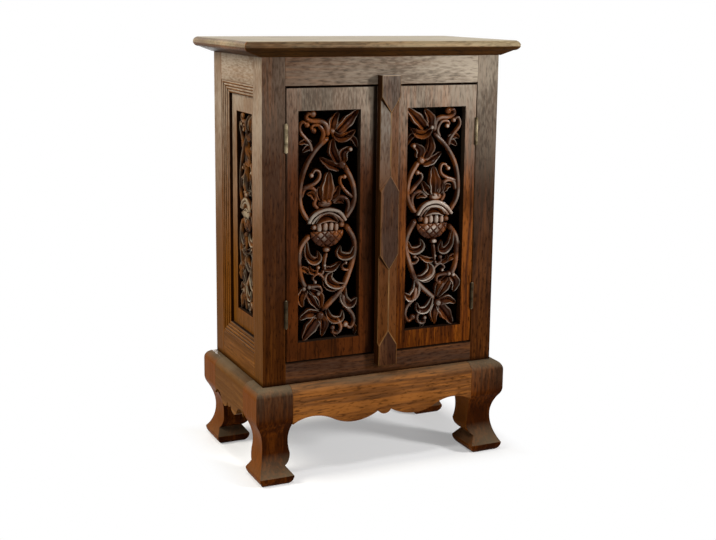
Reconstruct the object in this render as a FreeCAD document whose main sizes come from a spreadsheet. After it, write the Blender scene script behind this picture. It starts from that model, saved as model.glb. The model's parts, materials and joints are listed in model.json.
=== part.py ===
import FreeCAD
import Part
import math
import os
import Sketcher

# Carved bedside cabinet: a posted carcass on a bracket base with four square cabriole legs,
# two pierced and carved doors on brass butt hinges, pierced side panels and an overhanging top.
# Millimetres. X runs across the front, Y runs from front to back, Z is up.
# The origin is on the floor, under the middle of the cabinet.

DRIVING_SIZES = [
    ("overall_height", 700, "floor to top surface"),
    ("body_width", 414, "carcass across the front"),
    ("body_depth", 230, "carcass front to back"),
    ("post_side", 38, "square corner posts"),
    ("base_height", 158, "floor to top of the bracket base"),
    ("front_bottom_rail_height", 35, "rail under the doors"),
    ("top_rail_height", 45, "rails under the top, all round"),
    ("side_bottom_rail_height", 46, "lower rails at sides and back"),
    ("front_rail_thickness", 20, "front and back rails"),
    ("side_rail_thickness", 28, "side rails"),
    ("tenon_length", 16, "rail tenons in the posts"),
    ("tenon_thickness", 8, "rail tenons"),
    ("tenon_shoulder", 6, "shoulder around a rail tenon"),
    ("tenon_groove_gap", 2, "wood between a rail tenon and a groove"),
    ("post_tenon_side", 18, "square tenon under each post"),
    ("post_tenon_length", 24, "depth of that tenon in the leg"),
    ("top_thickness", 24, "top board over the carcass"),
    ("top_nose", 16, "thickness of the rounded edge of the top"),
    ("top_nose_round", 7.5, "rounding of that edge"),
    ("top_side_overhang", 32, "top past the carcass sides"),
    ("top_front_overhang", 16, "top past the carcass front"),
    ("top_back_overhang", 13, "top past the carcass back"),
    ("top_seat_margin", 3, "flat underside left outside the carcass"),
    ("dowel_diameter", 10, "dowels between posts and top"),
    ("dowel_in_post", 18, "dowel length in a post"),
    ("dowel_in_top", 12, "dowel length in the top"),
    ("shoulder_projection", 18, "base past the carcass"),
    ("shoulder_round", 16, "quarter round along the top of the base"),
    ("leg_side", 62, "leg block at the apron"),
    ("foot_side_inset", 4, "feet behind the shoulder of the base, at the sides"),
    ("foot_end_projection", 7, "feet past the shoulder of the base, at the front and back"),
    ("foot_edge_height", 14, "floor to the widest part of a foot"),
    ("foot_tuck", 7, "how far a foot is rounded under"),
    ("neck_height", 60, "floor to the narrowest part of a leg"),
    ("neck_inset", 15.5, "hollow of a leg behind its shoulder"),
    ("leg_hollow_radius", 66, "hollow above the neck"),
    ("leg_shoulder_radius", 25, "turn from the shoulder into the hollow"),
    ("knee_top_height", 94, "where the inner side of a leg starts to curve"),
    ("knee_height", 46, "floor to the inner knee"),
    ("knee_hollow", 3, "depth of the hollow above the inner knee"),
    ("ankle_height", 28, "floor to the notch under the inner knee"),
    ("ankle_depth", 11, "depth of that notch"),
    ("knee_radius", 20, "rounding of the inner knee"),
    ("apron_thickness", 28, "boards between the legs"),
    ("apron_tenon_length", 20, "apron tenons in the legs"),
    ("apron_tenon_thickness", 10, "apron tenons"),
    ("apron_tenon_shoulder", 10, "wood above and below an apron tenon"),
    ("apron_spring_height", 96, "floor to the apron edge at a leg"),
    ("apron_arch_height", 106, "floor to the arches of the apron edge"),
    ("apron_lobe_height", 87.5, "floor to the low lobes of the apron edge"),
    ("apron_cusp_height", 100, "floor to the notches beside the pendant"),
    ("apron_pendant_height", 93, "floor to the pendant"),
    ("front_arch_distance", 35, "leg to arch, front and back aprons"),
    ("front_lobe_distance", 56, "centre line to lobe, front and back aprons"),
    ("front_cusp_distance", 11.5, "centre line to notch, front and back aprons"),
    ("side_arch_distance", 15, "leg to arch, side aprons"),
    ("side_lobe_distance", 24, "centre line to lobe, side aprons"),
    ("side_cusp_distance", 8, "centre line to notch, side aprons"),
    ("panel_recess", 12, "side panels behind the carcass face"),
    ("panel_thickness", 12, "side panels"),
    ("groove_depth", 8, "panel grooves in posts and rails"),
    ("side_window_width", 72, "pierced opening of a side panel"),
    ("side_window_height", 330, "pierced opening of a side panel"),
    ("moulding_width", 20, "reeded moulding around a side panel"),
    ("moulding_outer_rise", 10.5, "moulding beside the frame"),
    ("moulding_inner_rise", 4, "moulding beside the panel field"),
    ("back_panel_thickness", 8, "board that closes the back"),
    ("back_panel_recess", 7, "back board behind the carcass back"),
    ("floor_thickness", 12, "cabinet floor"),
    ("floor_housing", 6, "edge of the floor let into the rails"),
    ("shelf_height", 412, "floor to the top of the shelf"),
    ("shelf_thickness", 12, "loose shelf"),
    ("shelf_clearance", 1, "play between shelf and side panels"),
    ("cleat_thickness", 14, "shelf cleats, sideways"),
    ("cleat_height", 14, "shelf cleats, upright"),
    ("stop_thickness", 12, "strip that stops the doors"),
    ("stop_hang", 15, "strip below the top rail"),
    ("stop_lap", 24, "strip glued to the top rail"),
    ("stop_end_gap", 20, "strip short of the posts"),
    ("door_thickness", 20, "door boards"),
    ("door_stop_gap", 0.3, "play between a shut door and the strip"),
    ("door_side_gap", 2, "gap on the hinge side"),
    ("door_end_gap", 2.5, "gaps above and below the doors"),
    ("meeting_gap", 1.5, "gap between the doors, at the front"),
    ("meeting_bevel", 2, "slope planed on the meeting edges"),
    ("meeting_offset", 14, "meeting line left of the middle"),
    ("door_hinge_stile", 19.5, "door edge to pierced opening"),
    ("door_window_width", 106, "pierced opening of a door"),
    ("door_window_top_margin", 35, "wood above the opening"),
    ("door_window_bottom_margin", 30, "wood below the opening"),
    ("fret_rebate", 6, "rebate around an opening, at the back"),
    ("fret_rim_thickness", 7, "rim of a carved panel"),
    ("fret_rim_lip", 2, "rim that shows inside the opening"),
    ("fret_clearance", 0.2, "play between carving and opening"),
    ("door_fret_recess", 3, "carving behind the door face"),
    ("door_fret_thickness", 13, "carving in the doors"),
    ("side_fret_rim_thickness", 5, "rim of a side carving"),
    ("side_fret_recess", 2, "carving behind the side panel face"),
    ("side_fret_thickness", 8, "carving in the side panels"),
    ("door_stem_width", 7, "stems of the door carving"),
    ("side_stem_width", 5.5, "stems of the side carving"),
    ("batten_width", 33, "cover strip on the right door"),
    ("batten_rise", 18, "cover strip proud of the door"),
    ("batten_edge_rise", 12, "edge of the cover strip where it is chamfered"),
    ("batten_top_lap", 16, "cover strip over the top rail"),
    ("batten_bottom_lap", 18, "cover strip over the bottom rail"),
    ("batten_end_block", 34, "plain block at each end of the strip"),
    ("batten_middle_block", 102, "plain block in the middle of the strip"),
    ("batten_point", 26, "pointed end of each plain block"),
    ("batten_facet", 5, "height of the small facet beside each point, at the edge of the strip"),
    ("batten_screw_length", 30, "screws from the door into the strip"),
    ("hinge_length", 44, "butt hinges, without the tips of their pins"),
    ("hinge_top_margin", 76.5, "door top to the middle of the upper hinges"),
    ("hinge_bottom_margin", 78, "door bottom to the middle of the lower hinges"),
    ("hinge_leaf_depth", 17, "hinge leaf from the face into the gap"),
    ("hinge_leaf_thickness", 2, "hinge leaves"),
    ("knuckle_diameter", 5.2, "rolled barrel of a hinge"),
    ("knuckle_rise", 1.5, "hinge axis in front of the carcass face"),
    ("knuckle_play", 0.3, "play between the knuckles of a hinge"),
    ("knuckle_clearance", 0.3, "room around the barrel"),
    ("pin_diameter", 2.6, "hinge pins"),
    ("pin_fit", 0.05, "play of a door knuckle on its pin, on the radius"),
    ("pin_tip", 1, "pin past the barrel"),
    ("screw_diameter", 2.8, "hinge and strip screws"),
    ("screw_head_diameter", 5.4, "countersunk heads"),
    ("screw_head_height", 1.4, "countersunk heads"),
    ("screw_length", 13, "hinge screws"),
    ("screw_setback", 10, "carcass face to the hinge screws"),
    ("screw_spacing", 30, "between the two screws of a leaf"),
]

REEDS = 4
REED_ROUNDNESS = 0.6
LEFT, RIGHT = -1, 1
FRONT, BACK = -1, 1
SIDE_NAMES = {LEFT: "left", RIGHT: "right"}
END_NAMES = {FRONT: "front", BACK: "back"}

doc = FreeCAD.newDocument("carved_cabinet")
sheet = doc.addObject("Spreadsheet::Sheet", "Sizes")
for row, (alias, value, meaning) in enumerate(DRIVING_SIZES, start=1):
    sheet.set(f"A{row}", meaning)
    sheet.set(f"B{row}", str(value))
    sheet.setAlias(f"B{row}", alias)
doc.recompute()


class Measure:
    """A length that holds its value and the sheet formula that gives it."""

    def __init__(self, value, formula):
        self.value = value
        self.formula = formula

    def __add__(self, other):
        other = as_measure(other)
        return Measure(self.value + other.value, f"({self.formula} + {other.formula})")

    def __sub__(self, other):
        other = as_measure(other)
        return Measure(self.value - other.value, f"({self.formula} - {other.formula})")

    def __mul__(self, other):
        other = as_measure(other)
        return Measure(self.value * other.value, f"({self.formula} * {other.formula})")

    def __truediv__(self, other):
        other = as_measure(other)
        return Measure(self.value / other.value, f"({self.formula} / {other.formula})")

    def __neg__(self):
        return self * -1

    def __rmul__(self, other):
        return self * other


def as_measure(number):
    """Gives a plain number as a measure, and a measure as it is."""
    if isinstance(number, Measure):
        return number
    return Measure(float(number), f"({float(number)})")


def root(measure):
    """Gives the square root of a measure."""
    return Measure(math.sqrt(measure.value), f"sqrt({measure.formula})")


def size(alias):
    """Gives one driving size of the sheet."""
    return Measure(float(sheet.get(alias)), f"{sheet.Name}.{alias}")


def ordered(pair):
    """Gives two measures with the lower one first."""
    return sorted((as_measure(end) for end in pair), key=lambda end: end.value)


def bind(piece, prop, measure):
    """Ties one property of a piece to a measure."""
    piece.setExpression(prop, as_measure(measure).formula)


def locate(piece, x, y, z):
    """Ties the place of a piece to three measures."""
    for axis, measure in zip("xyz", (x, y, z)):
        bind(piece, f"Placement.Base.{axis}", measure)


def block(name, x, y, z):
    """Makes a box between pairs of measures along X, Y and Z."""
    piece = doc.addObject("Part::Box", name)
    spans = [ordered(pair) for pair in (x, y, z)]
    for prop, (low, high) in zip(("Length", "Width", "Height"), spans):
        bind(piece, prop, high - low)
    locate(piece, *(low for low, high in spans))
    return piece


def rod(name, centre, diameter, low, high):
    """Makes an upright cylinder over a centre given as (x, y)."""
    piece = doc.addObject("Part::Cylinder", name)
    bind(piece, "Radius", diameter / 2)
    bind(piece, "Height", high - low)
    locate(piece, centre[0], centre[1], low)
    return piece


def union(name, *pieces):
    """Joins pieces into one."""
    piece = doc.addObject("Part::MultiFuse", name)
    piece.Shapes = list(pieces)
    return piece


def cut(name, base, *tools):
    """Cuts tools out of a base piece."""
    piece = doc.addObject("Part::Cut", name)
    piece.Base = base
    piece.Tool = tools[0] if len(tools) == 1 else union(f"{name}_cuts", *tools)
    return piece


def common(name, first, second):
    """Keeps what two pieces share."""
    piece = doc.addObject("Part::Common", name)
    piece.Base = first
    piece.Tool = second
    return piece


def arc_between(start, end, radius, turn):
    """Gives the circular arc from start to end: turn 1 is anticlockwise, -1 is clockwise."""
    chord = end - start
    half = chord.Length / 2
    sagitta_leg = math.sqrt(max(radius * radius - half * half, 0.0))
    normal = FreeCAD.Vector(-chord.y, chord.x, 0).normalize()
    centre = (start + end) * 0.5 + normal * (turn * sagitta_leg)
    first, last = (start, end) if turn > 0 else (end, start)
    angles = [math.atan2(point.y - centre.y, point.x - centre.x) for point in (first, last)]
    if angles[1] < angles[0]:
        angles[1] += 2 * math.pi
    circle = Part.Circle(centre, FreeCAD.Vector(0, 0, 1), radius)
    return Part.ArcOfCircle(circle, angles[0], angles[1])


def draw(body, role, corners):
    """Draws a closed outline on an origin plane of a body.

    A corner is (across, up) at the end of a straight run, or (across, up, radius, turn) at the
    end of an arc of less than half a circle. The first corner ends the run from the last one.
    """
    sketch = body.newObject("Sketcher::SketchObject", f"{body.Name}_outline")
    plane = next(part for part in body.Origin.OriginFeatures if part.Role == role)
    sketch.AttachmentSupport = [(plane, "")]
    sketch.MapMode = "FlatFace"
    points = [FreeCAD.Vector(corner[0].value, corner[1].value, 0) for corner in corners]
    runs = []
    ends = []
    for index, corner in enumerate(corners):
        start, end = points[index - 1], points[index]
        if len(corner) == 2:
            runs.append(Part.LineSegment(start, end))
            ends.append((1, 2))
        else:
            runs.append(arc_between(start, end, corner[2].value, corner[3]))
            ends.append((1, 2) if corner[3] > 0 else (2, 1))
    sketch.addGeometry(runs, False)
    constraints = []
    ties = []
    for index, corner in enumerate(corners):
        after = (index + 1) % len(corners)
        constraints.append(
            Sketcher.Constraint("Coincident", index, ends[index][1], after, ends[after][0])
        )
        for kind, measure in (("DistanceX", corner[0]), ("DistanceY", corner[1])):
            ties.append((len(constraints), measure))
            constraints.append(
                Sketcher.Constraint(kind, -1, 1, index, ends[index][1], measure.value)
            )
        if len(corner) > 2:
            ties.append((len(constraints), corner[2]))
            constraints.append(Sketcher.Constraint("Radius", index, corner[2].value))
    sketch.addConstraint(constraints)
    for index, measure in ties:
        bind(sketch, f"Constraints[{index}]", measure)
    return sketch


PLANES = {"x": ("YZ_Plane", False), "y": ("XZ_Plane", True), "z": ("XY_Plane", False)}


def prism(name, axis, low, high, corners):
    """Pads an outline along an axis from a low to a high place."""
    body = doc.addObject("PartDesign::Body", name)
    role, reverse = PLANES[axis]
    pad = body.newObject("PartDesign::Pad", f"{name}_pad")
    pad.Profile = draw(body, role, corners)
    bind(pad, "Length", high - low)
    pad.Reversed = reverse
    body.Tip = pad
    bind(body, f"Placement.Base.{axis}", low)
    return body


NODES = []


def node(label, piece):
    """Names a finished sub-part and lists it for writing."""
    piece.Label = label
    NODES.append(piece)
    return piece


def group(label, pieces):
    """Lists like fasteners as one sub-part of separate solids."""
    piece = doc.addObject("Part::Compound", label)
    piece.Links = pieces
    return node(label, piece)


# Main lines of the carcass, shared by the pieces that meet there
half_width = size("body_width") / 2
half_depth = size("body_depth") / 2
post = size("post_side")
inner_x = half_width - post
inner_y = half_depth - post
body_bottom = size("base_height")
body_top = size("overall_height") - size("top_thickness")
front_rail_top = body_bottom + size("front_bottom_rail_height")
side_rail_top = body_bottom + size("side_bottom_rail_height")
top_rail_bottom = body_top - size("top_rail_height")
rail_y = half_depth - size("front_rail_thickness")
tenon = size("tenon_length")
shoulder = size("tenon_shoulder")
shoulder_x = half_width + size("shoulder_projection")
shoulder_y = half_depth + size("shoulder_projection")
leg_inner_x = shoulder_x - size("leg_side")
leg_inner_y = shoulder_y - size("leg_side")
panel_face_x = half_width - size("panel_recess")
panel_back_x = panel_face_x - size("panel_thickness")
groove = size("groove_depth")

# Cuts that each post takes, filled in by the pieces that join it
post_cuts = {(side, end): [] for side in (LEFT, RIGHT) for end in (FRONT, BACK)}


def rail_along_x(label, end, low, high, tenon_low, tenon_high, cuts):
    """Makes a rail between two posts at the front or the back, with a tenon at each end."""
    stock = block(f"{label}_stock", (-inner_x, inner_x), (end * half_depth, end * rail_y), (low, high))
    middle = end * (half_depth + rail_y) / 2
    half = size("tenon_thickness") / 2
    reach = inner_x + tenon
    tongue = block(
        f"{label}_tongue",
        (-reach, reach),
        (middle - half, middle + half),
        (tenon_low, tenon_high),
    )
    for side in (LEFT, RIGHT):
        post_cuts[side, end].append(tongue)
    joined = union(f"{label}_joined", stock, tongue)
    return node(label, cut(label, joined, *cuts) if cuts else joined)


def rail_along_y(label, side, low, high, tenon_low, tenon_high, cuts):
    """Makes a rail between the two posts of one side, with a tenon at each end."""
    back = half_width - size("side_rail_thickness")
    stock = block(f"{label}_stock", (side * half_width, side * back), (-inner_y, inner_y), (low, high))
    outer = side * (half_width - shoulder / 2)
    reach = inner_y + tenon
    tongue = block(
        f"{label}_tongue",
        (outer, outer - side * size("tenon_thickness")),
        (-reach, reach),
        (tenon_low, tenon_high),
    )
    for end in (FRONT, BACK):
        post_cuts[side, end].append(tongue)
    joined = union(f"{label}_joined", stock, tongue)
    return node(label, cut(label, joined, *cuts))


# Cabinet floor, let into the rails and notched round the posts
floor_top = front_rail_top
floor_bottom = floor_top - size("floor_thickness")
floor_reach_x = half_width - size("side_rail_thickness") + size("floor_housing")
floor_reach_y = rail_y + size("floor_housing")
floor_stock = block(
    "floor_stock",
    (-floor_reach_x, floor_reach_x),
    (-floor_reach_y, floor_reach_y),
    (floor_bottom, floor_top),
)
floor_notches = [
    block(
        f"floor_notch_{side}_{end}",
        (side * inner_x, side * half_width),
        (end * inner_y, end * half_depth),
        (floor_bottom, floor_top),
    )
    for side in (LEFT, RIGHT)
    for end in (FRONT, BACK)
]
node("cabinet_floor", cut("cabinet_floor", floor_stock, *floor_notches))

# Back board, in grooves of the back posts and rails
back_outer = half_depth - size("back_panel_recess")
back_stock = block(
    "back_panel",
    (-inner_x - groove, inner_x + groove),
    (back_outer - size("back_panel_thickness"), back_outer),
    (side_rail_top - groove, top_rail_bottom + groove),
)
node("back_panel", back_stock)
for side in (LEFT, RIGHT):
    post_cuts[side, BACK].append(back_stock)

# Rails
upper_tenon = (top_rail_bottom + groove + size("tenon_groove_gap"), body_top - shoulder)
lower_tenon = (body_bottom + shoulder, floor_bottom - size("tenon_groove_gap"))
rail_along_x("front_top_rail", FRONT, top_rail_bottom, body_top, *upper_tenon, [])
rail_along_x("front_bottom_rail", FRONT, body_bottom, front_rail_top, *lower_tenon, [floor_stock])
rail_along_x("back_top_rail", BACK, top_rail_bottom, body_top, *upper_tenon, [back_stock])
rail_along_x(
    "back_bottom_rail", BACK, body_bottom, side_rail_top, *lower_tenon, [back_stock, floor_stock]
)

# Carved panels: a pierced solid inside a thin rim, drawn on a window that spans -1 to 1 both ways.
# A place is (across, up): across runs from the hinge side of a door, or the back of a side panel.
STEMS = [
    [(-0.60, 0.00), (-0.97, 0.24), (-0.74, 0.50)],
    [(-0.74, 0.50), (-0.40, 0.69), (0.20, 0.83)],
    [(0.60, 0.02), (0.97, 0.25), (0.48, 0.55)],
    [(-0.62, -0.10), (-0.97, -0.33), (-0.68, -0.58)],
    [(0.62, -0.03), (0.97, -0.28), (0.60, -0.57)],
    [(0.60, -0.57), (0.26, -0.70), (-0.34, -0.81)],
    [(-0.06, -0.15), (-0.02, -0.28), (-0.06, -0.42)],
]
CURLS = [
    [(0.20, 0.83), (-0.30, 0.90), (-0.50, 0.79)],
    [(-0.50, 0.79), (-0.97, 0.80), (-0.72, 0.70)],
    [(-0.30, 0.90), (-0.52, 0.97), (-0.50, 0.90)],
    [(-0.84, 0.44), (-0.30, 0.47), (-0.52, 0.40)],
    [(0.84, 0.36), (0.42, 0.39), (0.58, 0.45)],
    [(-0.62, -0.10), (-0.62, -0.27), (-0.36, -0.27)],
    [(0.90, -0.18), (0.62, -0.28), (0.42, -0.22)],
    [(0.90, -0.40), (0.56, -0.30), (0.42, -0.37)],
    [(-0.06, -0.42), (-0.40, -0.33), (-0.56, -0.42)],
    [(0.60, -0.57), (0.10, -0.56), (-0.30, -0.48)],
    [(0.60, -0.57), (0.80, -0.68), (0.96, -0.62)],
    [(0.00, -0.76), (0.36, -0.88), (0.54, -0.77)],
    [(0.54, -0.77), (0.96, -0.82), (0.66, -0.92)],
    [(0.20, -0.84), (0.42, -0.97), (0.20, -0.93)],
]
BEADS = [(0.20, 0.83), (0.48, 0.55), (-0.06, 0.16), (-0.06, -0.28), (-0.68, -0.58), (-0.34, -0.81)]
PETALS = [
    [(0.20, 0.83), (0.32, 0.98)],
    [(0.20, 0.83), (0.88, 0.98)],
    [(0.20, 0.83), (0.94, 0.78)],
    [(0.48, 0.55), (0.10, 0.74)],
    [(0.48, 0.55), (-0.20, 0.57)],
    [(0.48, 0.55), (0.80, 0.70)],
    [(-0.06, 0.16), (-0.06, 0.46)],
    [(-0.06, 0.16), (-0.70, 0.31)],
    [(-0.06, 0.16), (0.58, 0.31)],
    [(-0.68, -0.58), (-0.10, -0.58)],
    [(-0.68, -0.58), (-0.22, -0.73)],
    [(-0.68, -0.58), (-0.90, -0.72)],
    [(-0.34, -0.81), (-0.97, -0.84)],
    [(-0.34, -0.81), (-0.70, -0.98)],
    [(-0.34, -0.81), (-0.12, -0.96)],
]
MEDALLION = (-0.04, -0.02, 0.64, 0.17)
CURL_SHARE = 0.7
BEAD_SHARE = 0.8
PETAL_SHARE = 0.8


def band(start, through, end, width):
    """Gives a flat strip of one width along the arc through three points."""
    curve = Part.Arc(start, through, end).toShape().Curve
    centre = curve.Center
    edges = []
    for share, points in ((1, (start, through, end)), (-1, (end, through, start))):
        scale = 1 + share * width / 2 / curve.Radius
        edges.append(Part.Arc(*(centre + (point - centre) * scale for point in points)).toShape())
    sides = [
        Part.makeLine(edges[0].Vertexes[0].Point, edges[1].Vertexes[1].Point),
        Part.makeLine(edges[0].Vertexes[1].Point, edges[1].Vertexes[0].Point),
    ]
    return Part.Face(Part.Wire(Part.__sortEdges__(edges + sides)))


def disc(centre, diameter):
    """Gives a flat round."""
    return Part.Face(Part.Wire(Part.makeCircle(diameter / 2, centre)))


def oval(centre, width, height):
    """Gives a flat oval, longer either way."""
    outline = Part.Ellipse(centre, max(width, height) / 2, min(width, height) / 2)
    if height > width:
        upright = FreeCAD.Rotation(FreeCAD.Vector(0, 0, 1), 90)
        outline.rotate(FreeCAD.Placement(centre, upright, FreeCAD.Vector()))
    return Part.Face(Part.Wire(outline.toShape()))


def petal(base, tip, width):
    """Gives a flat pointed leaf from its base to its tip."""
    run = tip - base
    bulge = FreeCAD.Vector(-run.y, run.x, 0).normalize() * (width / 2)
    middle = (base + tip) * 0.5
    sides = [
        Part.Arc(base, middle + bulge, tip).toShape(),
        Part.Arc(tip, middle - bulge, base).toShape(),
    ]
    return Part.Face(Part.Wire(sides))


def carving(width, height, rim, rim_thickness, lip, clearance, thickness, stem, rise):
    """Gives a carved panel that lies flat on the XY plane, with its rim at the bottom.

    width and height are the window's, rim is the rebate round it, rise is where the carving
    starts above the back of the rim.
    """
    def spot(place):
        return FreeCAD.Vector(place[0] * width / 2, place[1] * height / 2, 0)

    def frame(grow):
        size_x, size_y = width + 2 * grow, height + 2 * grow
        return Part.makePlane(size_x, size_y, FreeCAD.Vector(-size_x / 2, -size_y / 2, 0))

    shapes = [band(*(spot(place) for place in stem_line), stem) for stem_line in STEMS]
    shapes += [band(*(spot(place) for place in curl), stem * CURL_SHARE) for curl in CURLS]
    shapes += [disc(spot(curl[2]), stem * BEAD_SHARE) for curl in CURLS]
    shapes += [disc(spot(bead), stem / BEAD_SHARE) for bead in BEADS]
    shapes += [petal(spot(base), spot(tip), stem / PETAL_SHARE) for base, tip in PETALS]
    across, up, share_x, share_y = MEDALLION
    shapes.append(oval(spot((across, up)), share_x * width, share_y * height))
    flat = shapes[0].multiFuse(shapes[1:]).common(frame(-clearance)).removeSplitter()
    scrolls = [face.extrude(FreeCAD.Vector(0, 0, thickness)) for face in flat.Faces]
    rim_flat = frame(rim).cut(frame(-lip))
    solid = rim_flat.extrude(FreeCAD.Vector(0, 0, rim_thickness))
    for scroll in scrolls:
        scroll.translate(FreeCAD.Vector(0, 0, rise))
    return solid.fuse(scrolls).removeSplitter()


def carved_pair(label, shape, turn, x, y, z):
    """Places a carved panel on the left and its mirror image on the right."""
    panels = {}
    left = doc.addObject("Part::Feature", f"left_{label}")
    left.Shape = shape
    left.Placement = FreeCAD.Placement(FreeCAD.Vector(), turn)
    locate(left, x, y, z)
    right = doc.addObject("Part::Mirroring", f"right_{label}")
    right.Source = left
    right.Normal = FreeCAD.Vector(1, 0, 0)
    panels[LEFT] = node(f"left_{label}", left)
    panels[RIGHT] = node(f"right_{label}", right)
    return panels


# Side walls: rails, a grooved panel, its carving and four mitred moulding strips
side_window = (size("side_window_width"), size("side_window_height"))
window_middle = (side_rail_top + top_rail_bottom) / 2
side_fret_rise = size("panel_thickness") - size("side_fret_recess") - size("side_fret_thickness")
side_carving = carving(
    side_window[0].value,
    side_window[1].value,
    size("fret_rebate").value,
    size("side_fret_rim_thickness").value,
    size("fret_rim_lip").value,
    size("fret_clearance").value,
    size("side_fret_thickness").value,
    size("side_stem_width").value,
    side_fret_rise.value,
)
side_turn = FreeCAD.Rotation(
    FreeCAD.Vector(0, -1, 0), FreeCAD.Vector(0, 0, 1), FreeCAD.Vector(-1, 0, 0), "ZXY"
)
carved_pair("side_fretwork", side_carving, side_turn, -panel_back_x, as_measure(0), window_middle)


def moulding_profile(side, edge, inward):
    """Gives the reeded profile of a moulding from the frame edge towards the panel field."""
    face = side * panel_face_x
    outer, inner = size("moulding_outer_rise"), size("moulding_inner_rise")
    width = size("moulding_width")
    step = width / REEDS
    drop = (outer - inner) / REEDS
    reed_radius = root(step * step + drop * drop) * REED_ROUNDNESS
    corners = [(face, edge), (face + side * outer, edge)]
    for reed in range(1, REEDS + 1):
        corners.append(
            (face + side * (outer - drop * reed), edge + inward * step * reed, reed_radius, side * inward)
        )
    corners.append((face, edge + inward * width))
    return corners


def mouldings(side):
    """Makes the four strips of one side, mitred at the corners."""
    width = size("moulding_width")
    low, high = side_rail_top, top_rail_bottom
    front, back = -inner_y, inner_y
    face, crest = ordered((side * panel_face_x, side * half_width))
    runs = [
        ("front", "z", low, high, front, 1, [(front, low), (front + width, low + width),
                                             (front + width, high - width), (front, high)]),
        ("back", "z", low, high, back, -1, [(back, low), (back, high),
                                            (back - width, high - width), (back - width, low + width)]),
        ("bottom", "y", front, back, low, 1, [(front, low), (back, low),
                                              (back - width, low + width), (front + width, low + width)]),
        ("top", "y", front, back, high, -1, [(front, high), (front + width, high - width),
                                             (back - width, high - width), (back, high)]),
    ]
    for place, axis, start, stop, edge, inward, mitre in runs:
        label = f"{SIDE_NAMES[side]}_{place}_moulding"
        strip = prism(f"{label}_strip", axis, start, stop, moulding_profile(side, edge, inward))
        trim = prism(f"{label}_mitre", "x", face, crest, mitre)
        node(label, common(label, strip, trim))


for side in (LEFT, RIGHT):
    name = SIDE_NAMES[side]
    board = block(
        f"{name}_panel_board",
        (side * panel_face_x, side * panel_back_x),
        (-inner_y - groove, inner_y + groove),
        (side_rail_top - groove, top_rail_bottom + groove),
    )
    for end in (FRONT, BACK):
        post_cuts[side, end].append(board)
    half_w, half_h = side_window[0] / 2, side_window[1] / 2
    rebate = size("fret_rebate")
    window = block(
        f"{name}_side_window",
        (side * panel_face_x, side * panel_back_x),
        (-half_w, half_w),
        (window_middle - half_h, window_middle + half_h),
    )
    ledge = block(
        f"{name}_side_rebate",
        (side * panel_back_x, side * (panel_back_x + size("side_fret_rim_thickness"))),
        (-half_w - rebate, half_w + rebate),
        (window_middle - half_h - rebate, window_middle + half_h + rebate),
    )
    node(f"{name}_side_panel", cut(f"{name}_side_panel", board, window, ledge))
    rail_along_y(f"{name}_top_rail", side, top_rail_bottom, body_top, *upper_tenon, [board])
    rail_along_y(
        f"{name}_bottom_rail", side, body_bottom, side_rail_top, *lower_tenon, [board, floor_stock]
    )
    mouldings(side)

# Shelf on two cleats, and the strip that the doors close against
shelf_bottom = size("shelf_height") - size("shelf_thickness")
shelf_reach = panel_back_x - size("shelf_clearance")
node("shelf", block("shelf", (-shelf_reach, shelf_reach),
                    (-inner_y + size("shelf_clearance"), inner_y - size("shelf_clearance")),
                    (shelf_bottom, size("shelf_height"))))
for side in (LEFT, RIGHT):
    label = f"{SIDE_NAMES[side]}_shelf_cleat"
    node(label, block(label, (side * panel_back_x, side * (panel_back_x - size("cleat_thickness"))),
                      (-inner_y, inner_y), (shelf_bottom - size("cleat_height"), shelf_bottom)))
stop_half = inner_x - size("stop_end_gap")
node("door_stop_strip", block("door_stop_strip", (-stop_half, stop_half),
                              (-rail_y, -rail_y + size("stop_thickness")),
                              (top_rail_bottom - size("stop_hang"), top_rail_bottom + size("stop_lap"))))

# Doors
door_front = -half_depth
door_back = -half_depth + size("door_thickness") - size("door_stop_gap")
door_edge = inner_x - size("door_side_gap")
door_low = front_rail_top + size("door_end_gap")
door_high = top_rail_bottom - size("door_end_gap")
window_outer = door_edge - size("door_hinge_stile")
window_inner = window_outer - size("door_window_width")
window_low = door_low + size("door_window_bottom_margin")
window_high = door_high - size("door_window_top_margin")
meeting_edge = {
    LEFT: -size("meeting_offset") - size("meeting_gap") / 2,
    RIGHT: -size("meeting_offset") + size("meeting_gap") / 2,
}
door_fret_front = door_front + size("door_fret_recess")
door_carving = carving(
    size("door_window_width").value,
    (window_high - window_low).value,
    size("fret_rebate").value,
    size("fret_rim_thickness").value,
    size("fret_rim_lip").value,
    size("fret_clearance").value,
    size("door_fret_thickness").value,
    size("door_stem_width").value,
    (door_back - door_fret_front - size("door_fret_thickness")).value,
)
door_turn = FreeCAD.Rotation(
    FreeCAD.Vector(1, 0, 0), FreeCAD.Vector(0, 0, 1), FreeCAD.Vector(0, -1, 0), "ZXY"
)
carved_pair(
    "door_fretwork",
    door_carving,
    door_turn,
    -(window_outer + window_inner) / 2,
    door_back,
    (window_low + window_high) / 2,
)

# Cuts that each door board takes
door_cuts = {LEFT: [], RIGHT: []}
for side in (LEFT, RIGHT):
    name = SIDE_NAMES[side]
    rebate = size("fret_rebate")
    door_cuts[side].append(block(f"{name}_door_window", (side * window_inner, side * window_outer),
                                 (door_front, door_back), (window_low, window_high)))
    door_cuts[side].append(block(f"{name}_door_rebate",
                                 (side * (window_inner - rebate), side * (window_outer + rebate)),
                                 (door_back - size("fret_rim_thickness"), door_back),
                                 (window_low - rebate, window_high + rebate)))


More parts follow.
